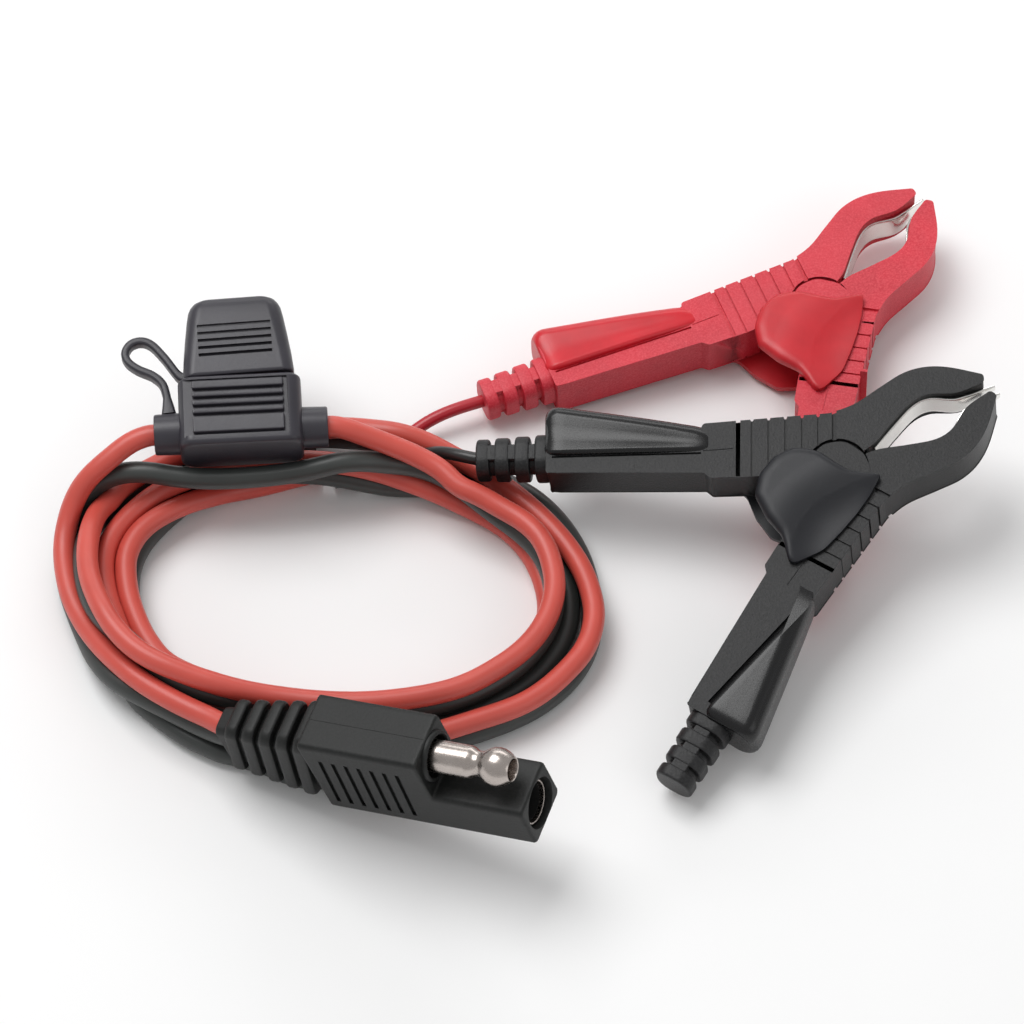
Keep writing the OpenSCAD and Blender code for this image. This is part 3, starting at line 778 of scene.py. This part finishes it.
def clamp_half(name, m, key, body, nodes, face_up):
    """one moulding; face_up (+1 where the +Z face is seen and -1 where the -Z face is) is not used"""
    out = fillet(CORE_OUT, CORE_RAD)
    bm = bmesh.new()
    merge(bm, lambda b: prism(b, out, -HALF_T, HALF_T, 0.75, 4), M_ARM)
    o = obj_from(bm, name, m)
    cuts, notch = [], []
    # ribbed grip zone: two deep bars and thin lines between them, on both faces and over the outer edge
    for i, x in enumerate((-13.6, -11.7, -9.4, -7.1, -4.8, -2.6, -0.4)):
        w, dp = (0.62, 0.42) if i in (0, 6) else (0.28, 0.26)
        for s in (-1, 1):
            cuts.append((M_ARM @ T((x, 3.6, s * HALF_T)), (w, 10.4 if i else 9.2, dp * 2)))

        if 0 < i < 6:
            notch.append((M_ARM @ T((x, 8.35 + (x + 1) * 0.042, 0)), (0.45, 1.0, 9)))
    # parting line of the mould along the handle, and the crease below the finger pad
    lines = [(M_ARM @ T((-16.3, 3.1, s * HALF_T)) @ rz(3), (4.2, 0.14, 0.2)) for s in (-1, 1)]
    lines.append((M_ARM @ T((-29, 2.65, HALF_T)), (20.6, 0.3, 0.7)))
    lines.append((M_ARM @ T((-29.5, 4.5, -HALF_T)) @ rz(10.6), (18.0, 0.6, 1.4)))
    cutter = boxes_object(name + "_cut", cuts, m)
    cut(o, cutter)
    cut(o, boxes_object(name + "_notch", notch, m))
    cut(o, boxes_object(name + "_lines", lines, m))
    hub = bmesh.new()
    merge(hub, lambda b: bmesh.ops.create_cone(b, cap_ends=True, segments=64, radius1=4.3, radius2=4.3, depth=12))
    cut(o, obj_from(hub, name + "_hub", m))
    hub = bmesh.new()
    merge(hub, lambda b: bmesh.ops.create_cone(b, cap_ends=True, segments=64, radius1=4.75, radius2=4.75, depth=4.9))
    cut(o, obj_from(hub, name + "_hub_inside", m))
    bore = bmesh.new()
    merge(bore, lambda b: bmesh.ops.create_cone(b, cap_ends=True, segments=32, radius1=1.15, radius2=1.15, depth=5.9))
    ears = bmesh.new()
    for z0, z1 in ((-3.24, -2.5), (1.45, 2.3)):
        merge(ears, lambda b: prism(b, fillet([(-4.2, -0.1), (-2.9, -3.0), (0, -4.2), (2.9, -3.0), (4.2, 0), (4.0, 2.0), (2.4, 6.6), (0.2, 7.0),
                                                (-3.6, 2.4)], 2.6), z0, z1, 0.12, 1))
    e = obj_from(ears, name + "_ears", m)
    cut(e, obj_from(bore, name + "_bore", m))
    smooth(o, 32, 0.02)
    dress(o, key, body, *nodes)
    smooth(e, 32)
    dress(e, key, body)
    p = pad_mesh(name + "_pad", m)
    dress(p, key + "_gloss", body)
    # strain relief: rounded blocks on a core, with a web across each gap between them
    rel = bmesh.new()
    core = fillet([(-50, 2.4), (-50, 5.4), (-39.5, 5.4), (-39.5, 2.4)], 0.2)
    merge(rel, lambda b: turned(b, [(-49.9, 1.25), (-49.9, 2.15), (-39.5, 2.15), (-39.5, 1.25)], 36), M_ARM @ T((0, 3.9, 0)))
    xs = [(-50, -48.1), (-47.4, -45.3), (-44.6, -42.5), (-41.8, -39.8)]
    for i, (x0, x1) in enumerate(xs):
        w = 5.4 + 0.2 * i

        def block(b, x0=x0, x1=x1, w=w):
            ring = rrect(w, w, 2.0, 7)
            prof = [(x0, 0.88), (x0 + 0.12, 0.96), (x0 + 0.35, 1.0), (x1 - 0.35, 1.0), (x1 - 0.12, 0.96), (x1, 0.88)]
            loft(b, [[(x, y * k, z * k) for y, z in ring] for x, k in prof])
        merge(rel, block, M_ARM @ T((0, 3.9, 0)))
    for i in range(3):
        xa = xs[i][1] - 0.3
        merge(rel, lambda b, xa=xa: prism(b, rrect(1.3, 2.3, 0.2, 2, xa + 0.65, 0), -2.7, 2.7, 0.2, 2), M_ARM @ T((0, 3.9, 0)))
    r = obj_from(rel, name + "_relief", m)
    smooth(r, 35)
    dress(r, key, body)
    # saddle guard over the pivot: a domed lobe, a crease and a hollow lobe
    g = guard_mesh(name + "_guard", m)
    dress(g, key + "_guard", body)
    return o


def pad_mesh(name, m):
    """smooth finger pad: fills the outer edge of the handle with a full round, its inner side follows the creases"""
    def outer(x):
        return 7.75 + (-21.4 - x) * (10.85 - 7.65) / 18.2 if x < -21.4 else 7.72 + (-21.4 - x) * 0.16

    rings = []
    xs = [-17.7, -17.85, -18.2, -18.8, -19.6] + list(np.linspace(-20.6, -37.6, 24)) + [-38.6, -39.3, -39.8, -40.15, -40.32]
    for x in xs:
        front = min(1.0, max(0.0, (-17.55 - x) / 2.6))
        fr = math.sqrt(1 - (1 - front) ** 2)
        back = min(1.0, max(0.0, (x + 40.42) / 2.2))
        bk = math.sqrt(1 - (1 - back) ** 2)
        y1 = outer(x) - (1 - bk) * 1.5 - (1 - fr) * 0.5
        t0 = 2.85 + (1 - bk) * 0.7 + (1 - fr) * 0.35
        b0 = max(2.9, 6.75 + (x + 18.6) * 0.187) + (1 - bk) * 0.7
        b0 = min(b0, y1 - 1.0)
        swell = math.sin(min(1.0, max(0.0, (-18 - x) / 12)) * math.pi / 2)
        zt = 3.12 + (0.35 + 0.45 * swell) * fr - (1 - bk) * 1.3
        zb = 3.12 + (0.45 + 0.45 * swell) * fr - (1 - bk) * 1.3
        R = 2.1
        ring = [(t0, 1.0), (t0, zt - 0.7)]
        for k in range(1, 5):
            q = math.pi / 2 * k / 4
            ring.append((t0 + 0.7 * (1 - math.cos(q)), zt - 0.7 * (1 - math.sin(q))))
        for u in (0.25, 0.5, 0.75):
            y = t0 + 0.7 + (y1 - R - t0 - 0.7) * u
            ring.append((y, zt - 0.30 * swell * math.sin(u * math.pi)))
        for k in range(9):
            q = math.pi / 2 * (1 - k / 8)
            ring.append((y1 - R + R * math.cos(q), zt - R + R * math.sin(q)))
        for k in range(9):
            q = -math.pi / 2 * k / 8
            ring.append((y1 - R + R * math.cos(q), -zb + R + R * math.sin(q)))
        lo = max(b0 + 0.9, 0)
        for u in (0.25, 0.5, 0.75):
            y = y1 - R + (lo - y1 + R) * u
            ring.append((y, -zb))
        for k in range(5):
            q = math.pi / 2 * (1 - k / 4)
            ring.append((b0 + 0.9 * (1 - math.cos(q)), -zb + 0.9 * (1 - math.sin(q))))
        ring.append((b0, -1.2))
        rings.append([(x, y, z) for y, z in ring])
    bm = bmesh.new()
    merge(bm, lambda b: loft(b, rings), M_ARM)
    return smooth(obj_from(bm, name, m), 60)


def guard_mesh(name, m):
    out = fillet(GUARD_SEEN, [1.6, 2.4, 1.6, 1.5, 2, 3, 4, 3, 0.3, 2.5, 4, 5, 4, 0.9, 2, 1.5, 2], 6)
    P = np.array(out)
    c = np.array([-4.6, 2.6])
    # boundary by angle
    n_t, n_r = 120, 22
    ang = np.linspace(0, 2 * math.pi, n_t, endpoint=False)
    B = []
    for a in ang:
        d = np.array([math.cos(a), math.sin(a)])
        best = None
        for i in range(len(P)):
            p, q = P[i] - c, P[(i + 1) % len(P)] - c
            e = q - p
            den = d[0] * (-e[1]) + d[1] * e[0]
            if abs(den) < 1e-9:
                continue
            t = (p[0] * (-e[1]) + p[1] * e[0]) / den
            u = (d[0] * p[1] - d[1] * p[0]) / den
            if t > 0 and -1e-6 <= u <= 1 + 1e-6 and (best is None or t > best):
                best = t
        B.append(c + d * best)
    B = np.array(B)
    # the crease runs from the right tip, level at first, down to the bottom tip
    crease = spline([(4.4, 4.4, 0), (1.4, 4.0, 0), (-1.6, 3.7, 0), (-5, 3.8, 0), (-7.2, 4.4, 0), (-9.2, 5.6, 0), (-11.2, 7.4, 0),
                     (-13, 9.6, 0)], 0.3)[:, :2]

    def height(p, rr):
        d = crease - p
        k = int(np.hypot(*d.T).argmin())
        dist = math.hypot(*d[k])
        tan = crease[min(k + 1, len(crease) - 1)] - crease[max(k - 1, 0)]
        side = tan[0] * (p - crease[k])[1] - tan[1] * (p - crease[k])[0]
        edge = min(1.0, max(0.0, (1 - rr) / 0.20))
        rim = math.sqrt(max(0.0, 1 - (1 - edge) ** 2))
        f = min(1.0, dist / 5.5)
        if side > 0:
            # domed lobe, highest a little away from the crease
            h = 1.10 + 0.62 * math.sin(f * math.pi * 0.62)
            return 0.35 + (h - 0.35) * (0.35 + 0.65 * rim)
        # hollow lobe that falls away from the crease
        g = min(1.0, dist / 4.2)
        h = 1.10 - 0.72 * (1 - (1 - g) ** 2.2)
        return 0.30 + (h - 0.30) * (0.6 + 0.4 * rim)

    bm = bmesh.new()
    rings = []
    base = 3.42
    for j in range(n_r + 1):
        f = (j / n_r) ** 0.75
        ring = []
        for b in B:
            p = c + f * (b - c)
            ring.append((p, f))
        rings.append(ring)
    verts = [bm.verts.new((c[0], c[1], -(base + height(c, 0))))]
    rows = []
    for ring in rings[1:]:
        rows.append([bm.verts.new((p[0], p[1], -(base + height(p, f)))) for p, f in ring])
    low = [bm.verts.new((b[0], b[1], -base)) for b in B]
    inner = [bm.verts.new(((c + 0.9 * (b - c))[0], (c + 0.9 * (b - c))[1], -base + 0.02)) for b in B]
    for i in range(n_t):
        j = (i + 1) % n_t
        bm.faces.new((verts[0], rows[0][i], rows[0][j]))
        for a, b in zip(rows, rows[1:]):
            bm.faces.new((a[i], b[i], b[j], a[j]))
        bm.faces.new((rows[-1][i], low[i], low[j], rows[-1][j]))
        bm.faces.new((low[i], inner[i], inner[j], low[j]))
    bm.faces.new(inner)
    o = obj_from(bm, name, m)
    return smooth(o, 50)


def contact(name, m, key, body, nodes):
    """a formed steel strip that lines a jaw, flat across its width and drawn to a point"""
    jaw = [(5.9, 0.55), (9.8, 2.14), (13.6, 3.45), (16.3, 3.28), (19.5, 1.24), (23.4, 0.92), (25.2, 0.86)]
    P = spline([(x, y, 0) for x, y in jaw], 0.4)[:, :2]
    rings = []
    N = len(P)
    for i, p in enumerate(P):
        a, b = P[max(0, i - 1)], P[min(N - 1, i + 1)]
        t = (b - a) / np.linalg.norm(b - a)
        nrm = np.array([-t[1], t[0]])
        x = p[0]
        w = 2.0 if x < 20.5 else 2.0 - 1.55 * min(1, (x - 20.5) / 4.7)
        th = 0.4
        dish = 0.18 * math.sin(min(1, max(0, (x - 6) / 14)) * math.pi)
        row = []
        zs = np.linspace(-w, w, 9)
        for z in zs:
            q = p + nrm * (0.0 - dish * (1 - (z / w) ** 2) * 0.0 + 0.0)
            row.append((q[0], q[1] - 0.0, z))
        for z in zs[::-1]:
            q = p - nrm * th
            row.append((q[0], q[1], z))
        rings.append(row)
    bm = bmesh.new()
    loft(bm, rings)
    o = obj_from(bm, name, m)
    soften(o, 0.1, 2, 40)
    smooth(o, 40)
    dress(o, "contact", body, *nodes)


def spring(name, m, body_a, body_b, nodes):
    """torsion spring: four close turns round the pin, a leg on each handle"""
    r, w = 2.2, 0.3
    turns = 3.42
    bm = bmesh.new()
    a0 = math.atan2(-1.79, -1.27)
    pts = []
    for k in range(int(turns * 36) + 1):
        t = k / 36 / turns
        a = a0 - 2 * math.pi * k / 36
        pts.append((r * math.cos(a), r * math.sin(a), -0.95 + 1.9 * t))
    wire(bm, pts, w, 10)
    c = obj_from(bm, name + "_coil", m)
    smooth(c, 60)
    dress(c, "spring", body_a, *nodes)
    for nm, body, a, b in (("leg_a", body_a, (-1.27, -1.79, -0.95), (-9.36, 3.78, -0.9)), ("leg_b", body_b, (-1.27, 1.79, 0.95), (-9.36, -3.78, 0.9))):
        bm = bmesh.new()
        A, B = np.array(a), np.array(b)
        wire(bm, [A + (B - A) * t for t in np.linspace(0, 1, 8)], w, 10)
        g = obj_from(bm, name + "_" + nm, m)
        smooth(g, 60)
        dress(g, "spring", body)


def pin(name, m, body, nodes):
    bm = bmesh.new()
    merge(bm, lambda b: turned(b, [(-2.9, 0.9), (-2.75, 1.08), (-2.6, 1.1), (2.6, 1.1), (2.75, 1.08), (2.9, 0.9)], 40), ry(90))
    o = obj_from(bm, name, m)
    smooth(o, 40)
    dress(o, "steel", body, *nodes)


for colour, m in (("red", M_RED), ("black", M_BLACK)):
    moving = colour + "_moving_half"
    clamp_half(colour + "_fixed_half", m, "clamp_" + colour, "lead_set", [colour + "_half_a"], 1)
    clamp_half(colour + "_opening_half", m @ FLIP, "clamp_" + colour, moving, [colour + "_half_b"], -1)
    contact(colour + "_fixed_contact", m, "contact", "lead_set", [colour + "_contact_a"])
    contact(colour + "_opening_contact", m @ FLIP, "contact", moving, [colour + "_contact_b"])
    spring(colour + "_torsion_spring", m, "lead_set", moving, [colour + "_spring"])
    pin(colour + "_pin", m, "lead_set", [colour + "_pivot_pin"])

# ------------------------------------------------------------------ connector
POLE = 3.9


def yz_block(b, x0, x1, t, z0, z1, r, bevel=0.35, tilt=0.0, k0=1.0, k1=1.0, n=6):
    """a block along X with rounded long edges; tilt leans its ends over"""
    cz, h = (z0 + z1) / 2, z1 - z0
    ring = rrect(t, h, r, n)
    xs = [(x0, 1 - bevel / max(t, h) * 1.6), (x0 + bevel * 0.35, 1 - bevel / max(t, h) * 0.5), (x0 + bevel, 1.0), (x1 - bevel, 1.0),
          (x1 - bevel * 0.35, 1 - bevel / max(t, h) * 0.5), (x1, 1 - bevel / max(t, h) * 1.6)]
    rings = []
    for x, s in xs:
        f = (x - x0) / (x1 - x0)
        k = k0 + (k1 - k0) * f
        rings.append([(x + tilt * (z * s * k), y * s * k, cz * k + z * s * k) for y, z in ring])
    loft(b, rings)


hb = bmesh.new()
merge(hb, lambda b: yz_block(b, -17.6, 0, 8.5, -7.65, 7.65, 0.7, 0.25))
merge(hb, lambda b: yz_block(b, -3, 13, 8.5, -7.65, -0.1, 0.7, 0.3))
housing = obj_from(hb, "housing_core", M_PLUG)
apply_mod(housing, "REMESH", mode="VOXEL", voxel_size=0.0002, use_smooth_shade=True)
apply_mod(housing, "SMOOTH", factor=0.5, iterations=3)
cuts = []
for i in range(7):
    for s in (-1, 1):
        cuts.append((T((-15.4 + 1.9 * i, s * 4.25, -0.6)) @ ry(4), (0.62, 0.9, 10.2)))
# seam of the mould along the narrow faces
cuts.append((T((-8.5, 0, 7.65)), (17.4, 0.1, 0.1)))
cut(housing, boxes_object("grooves", cuts, M_PLUG))
holes = bmesh.new()
merge(holes, lambda b: turned(b, [(-6, 3.3), (12.0, 3.3), (12.9, 3.45), (14, 3.9)], 64), T((0, 0, -POLE)))
merge(holes, lambda b: turned(b, [(-8, 2.22), (-2.4, 2.22), (-2.2, 2.9), (1, 2.9)], 48), T((0, 0, POLE)))
cut(housing, obj_from(holes, "holes", M_PLUG))
smooth(housing, 40)
housing.name = "connector_body"
dress(housing, "rubber", "lead_set", "connector_housing")
# ribbed strain relief: five raked collars on a tapered core
bb = bmesh.new()
merge(bb, lambda b: yz_block(b, -32.4, -17.0, 6.6, -5.6, 5.6, 1.6, 0.3, 0.0, 0.66, 0.98))
for i in range(5):
    x = -18.3 - 2.75 * i
    k = 1 - 0.062 * i
    merge(bb, lambda b, x=x, k=k: yz_block(b, x - 1.9, x, 8.1 * k, -7.0 * k, 7.0 * k, 1.9 * k, 0.55, 0.20))
boot = obj_from(bb, "connector_boot", M_PLUG)
smooth(boot, 45)
dress(boot, "rubber", "lead_set")
# raised collar round the pin and the rib under the nose
cb = bmesh.new()
merge(cb, lambda b: turned(b, [(-0.5, 2.86), (-0.5, 3.45), (0.25, 3.45), (0.5, 3.3), (0.58, 3.1), (0.5, 2.92), (0.2, 2.84), (-0.5, 2.82)], 56), T((0, 0, POLE)))
merge(cb, lambda b: yz_block(b, -3.6, -0.6, 3.4, -9.25, -7.0, 0.5, 0.35))
merge(cb, lambda b: yz_block(b, -0.2, 7.2, 3.0, -9.25, -7.0, 0.8, 0.5))
collar = obj_from(cb, "connector_collar", M_PLUG)
smooth(collar, 40)
dress(collar, "rubber", "lead_set")
pb = bmesh.new()
prof = [(-7.8, 1.6), (-7.8, 2.18), (0, 2.18), (5.2, 2.18), (5.6, 2.1), (6.0, 1.86), (6.35, 1.72), (6.75, 1.68), (7.15, 1.74), (7.55, 1.98),
        (8.1, 2.32), (8.7, 2.53), (9.3, 2.59), (9.9, 2.52), (10.5, 2.28), (10.9, 2.06), (11.2, 1.86), (11.42, 1.72), (11.5, 1.60), (11.46, 1.48),
        (11.3, 1.42), (8.0, 1.38)]
merge(pb, lambda b: turned(b, prof, 72), T((0, 0, POLE)))
bullet = obj_from(pb, "bullet_pin", M_PLUG)
smooth(bullet, 40)
dress(bullet, "nickel", "lead_set", "male_pin")
sb = bmesh.new()
n = 72
prof = [(-8, 3.1), (12.0, 3.1), (12.15, 3.04), (12.2, 2.9), (12.15, 2.76), (12.0, 2.7), (-3, 2.7), (-3.2, 0.0001)]
merge(sb, lambda b: turned(b, prof, n), T((0, 0, -POLE)))
sleeve = obj_from(sb, "socket_sleeve", M_PLUG)
smooth(sleeve, 40)
# a thin near-black sleeve inside the socket: painted shadow in the bore
lb = bmesh.new()
merge(lb, lambda b: turned(b, [(-2.9, 0.3), (-2.9, 2.68), (11.5, 2.68), (11.5, 2.62), (-2.6, 2.62), (-2.6, 0.3)], 48), T((0, 0, -POLE)))
liner = obj_from(lb, "socket_shadow_liner", M_PLUG)
smooth(liner, 40)
dress(liner, "dark", "lead_set")
dress(sleeve, "nickel", "lead_set", "female_sleeve")

# ------------------------------------------------------------------ fuse holder
XZ = Matrix.Rotation(math.radians(-90), 4, "X")  # a prism's Z along the holder's +Y


def slab(b, w, t, y0, y1, r, bevel=0.5, seg=3, k0=1.0, k1=1.0, kt0=1.0, kt1=1.0, n=7):
    ring = rrect(w, t, r, n)
    steps = [(0, 1), (0.05, 1)]
    L = y1 - y0
    prof = []
    for q in range(seg + 1):
        a = math.pi / 2 * q / seg
        prof.append((y0 + bevel * (1 - math.sin(a)), bevel * (1 - math.cos(a))))
    prof = prof[::-1]
    prof = [(y0 + bevel * (1 - math.cos(math.pi / 2 * q / seg)), bevel * (1 - math.sin(math.pi / 2 * q / seg))) for q in range(seg + 1)]
    prof += [(y1 - bevel * (1 - math.cos(math.pi / 2 * q / seg)), bevel * (1 - math.sin(math.pi / 2 * q / seg))) for q in range(seg, -1, -1)]
    rings = []
    for y, inset in prof:
        f = (y - y0) / L
        kw, kt = k0 + (k1 - k0) * f, kt0 + (kt1 - kt0) * f
        sx, sz = (w * kw - 2 * inset) / w, (t * kt - 2 * inset) / t
        rings.append([(x * sx, y, z * sz) for x, z in ring])
    loft(b, rings)


fb = bmesh.new()
merge(fb, lambda b: slab(b, 17, 8.6, -3.5, 6.9, 1.9, 0.7))
body = obj_from(fb, "holder_body", M_FUSE)
cuts = [(T((-0.6, 2.0, 4.3)), (14.6, 8.4, 0.7)), (T((-0.6, 2.0, -4.3)), (14.6, 8.4, 0.5))]
cut(body, boxes_object("panel", cuts, M_FUSE))
ch = bmesh.new()
merge(ch, lambda b: slab(b, 12.2, 4.6, -1.6, 8.0, 0.6, 0.05, 1))
cut(body, obj_from(ch, "chamber", M_FUSE))
soften(body, 0.16, 2, 40)
smooth(body, 35)
dress(body, "fuse_grey", "lead_set", "fuse_body")
# tubes, ribs and the panel on the front
tb = bmesh.new()
for s in (-1, 1):
    prof = [(7.2, 2.95), (11.75, 2.82), (11.93, 2.76), (12.0, 2.6), (12.0, 1.9), (11.9, 1.62), (11.6, 1.55), (7.2, 1.55)]
    mm = Matrix.Identity(4) if s > 0 else ry(180)
    merge(tb, lambda b: turned(b, prof, 48), mm)
for i, (y0, y1) in enumerate(((-1.9, 0.5), (0.95, 1.75), (2.2, 3.0), (3.45, 4.25), (4.7, 5.9))):
    merge(tb, lambda b, y0=y0, y1=y1: prism(b, rrect(12.6, y1 - y0, 0.25, 3, -0.2, (y0 + y1) / 2), 3.8, 4.62, 0.22, 2))
    merge(tb, lambda b, y0=y0, y1=y1: prism(b, rrect(12.6, y1 - y0, 0.25, 3, -0.2, (y0 + y1) / 2), -4.5, -3.8, 0.22, 2))
tubes = obj_from(tb, "holder_ribs_and_tubes", M_FUSE)
smooth(tubes, 40)
dress(tubes, "fuse_grey", "lead_set")
# cap
CAP = M_FUSE @ T((0, 7.1, 0)) @ rz(1.6)
kb_ = bmesh.new()


def cap_shell(b):
    rings = []
    prof = [(0.0, 14.9, 7.7, 1.5), (0.12, 15.2, 8.0, 1.6), (0.45, 15.4, 8.2, 1.7), (3, 15.0, 7.95, 1.8), (6, 14.3, 7.55, 1.9), (9, 13.5, 7.1, 2.0),
            (10.4, 13.0, 6.8, 2.0), (11.2, 12.4, 6.35, 2.0), (11.8, 11.6, 5.7, 1.9), (12.2, 10.5, 4.8, 1.8), (12.38, 9.2, 3.8, 1.6), (12.4, 7.5, 2.6, 1.2)]
    for y, w, t, r in prof:
        rings.append([(x, y, z) for x, z in rrect(w, t, min(r, t / 2 - 0.05), 7)])
    loft(b, rings)


merge(kb_, cap_shell)
cap = obj_from(kb_, "cap_shell", CAP)
ch = bmesh.new()
merge(ch, lambda b: slab(b, 12.2, 4.6, -1.0, 9.4, 0.6, 0.05, 1))
cut(cap, obj_from(ch, "cap_chamber", CAP))
cuts = []
for i in range(5):
    cuts.append((T((-0.2, 3.1 + 1.12 * i, 3.75)) @ rx(4), (10.2, 0.5, 0.9)))
    cuts.append((T((0, 3.1 + 1.12 * i, -3.75)) @ rx(-4), (10.2, 0.5, 0.9)))
cut(cap, boxes_object("cap_cuts", cuts, CAP))
smooth(cap, 35)
dress(cap, "fuse_grey", "cap", "fuse_cap")

# tether: a flat moulded strap from the cap round a loop to the left tube
STRAP = [(-6.9, 8.2), (-8.3, 8.6), (-10.2, 11.4), (-11.9, 13.5), (-13.4, 14.2), (-14.9, 13.8), (-15.7, 12.5), (-15.3, 11.1), (-13.9, 9.9), (-12, 8.9),
         (-10.7, 7.6), (-10.2, 6), (-10, 4.4), (-9.9, 2.9)]
SP = spline([(x, y, 0) for x, y in STRAP], 0.35)[:, :2]
st = bmesh.new()


def strap(b):
    rings = []
    N = len(SP)
    for i, p in enumerate(SP):
        a, c = SP[max(0, i - 1)], SP[min(N - 1, i + 1)]
        t = (c - a) / np.linalg.norm(c - a)
        nn = np.array([-t[1], t[0]])
        f = i / (N - 1)
        w = 0.56 + 0.25 * max(0, 1 - f * 12) + 0.45 * max(0, 1 - (1 - f) * 10)
        rings.append([(p[0] + nn[0] * u, p[1] + nn[1] * u, z) for u, z in rrect(2 * w, 1.9, 0.4, 4)])
    loft(b, rings)


merge(st, strap)
tether = obj_from(st, "tether_strap", M_FUSE)
smooth(tether, 50)
tether.data.materials.append(MAT["fuse_grey"])
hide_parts("fuse_tether")
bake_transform(tether)

# the fuse inside
ib = bmesh.new()
merge(ib, lambda b: slab(b, 10.9, 3.6, 5.2, 12.6, 0.9, 0.4))
merge(ib, lambda b: slab(b, 8.8, 2.8, 12.2, 13.6, 0.6, 0.3))
ins = obj_from(ib, "fuse_insulator_body", M_FUSE)
smooth(ins, 40)
dress(ins, "fuse_plastic", "fuse", "fuse_insulator")

# carried-over CAD nodes get a full material of their own
for nd, key in (("fuse_clips", "brass"), ("fuse_blades", "blade"), ("red_crimp", "brass"), ("black_crimp", "brass")):
    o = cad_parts[nd]
    for s in o.material_slots:
        s.material = MAT[key]
    if not o.material_slots:
        pass

# ------------------------------------------------------------------ floor and light
fl = bpy.data.meshes.new("floor")
fl.from_pydata([(-3, -3, -0.0002), (3, -3, -0.0002), (3, 3, -0.0002), (-3, 3, -0.0002)], [], [(0, 1, 2, 3)])
floor = bpy.data.objects.new("floor", fl)
scene.collection.objects.link(floor)


def floor_mat(nt, b):
    n1 = noise(nt, 14, 4, 0.6)
    r = ramp(nt, n1.outputs["Fac"], [(0.3, (0.86, 0.86, 0.86)), (0.7, (0.885, 0.885, 0.885))])
    nt.links.new(r.outputs[0], b.inputs["Base Color"])
    b.inputs["Roughness"].default_value = 0.85
    b.inputs["Specular IOR Level"].default_value = 0.2


fl.materials.append(material("floor", floor_mat))


def area(name, loc, target, size, power, size_y=None):
    d = bpy.data.lights.new(name, "AREA")
    d.energy = power
    d.shape = "RECTANGLE"
    d.size = size
    d.size_y = size_y or size
    o = bpy.data.objects.new(name, d)
    scene.collection.objects.link(o)
    o.location = loc
    o.rotation_euler = (Vector(target) - Vector(loc)).to_track_quat("-Z", "Y").to_euler()
    return o


area("key", (-0.28, 0.22, 0.72), (0, 0, 0), 0.5, 4.4)
area("fill", (0.6, -0.45, 0.5), (0, 0, 0), 0.5, 0.7)
area("rim", (0.1, 0.75, 0.35), (0, 0, 0), 0.7, 1.2, 0.2)
w = bpy.data.worlds.new("world")
scene.world = w
w.use_nodes = True
w.node_tree.nodes["Background"].inputs[0].default_value = (1, 1, 1, 1)
w.node_tree.nodes["Background"].inputs[1].default_value = 0.52
scene.view_settings.view_transform = "Standard"
scene.view_settings.look = "None"

# ------------------------------------------------------------------ final update
bpy.context.view_layer.update()
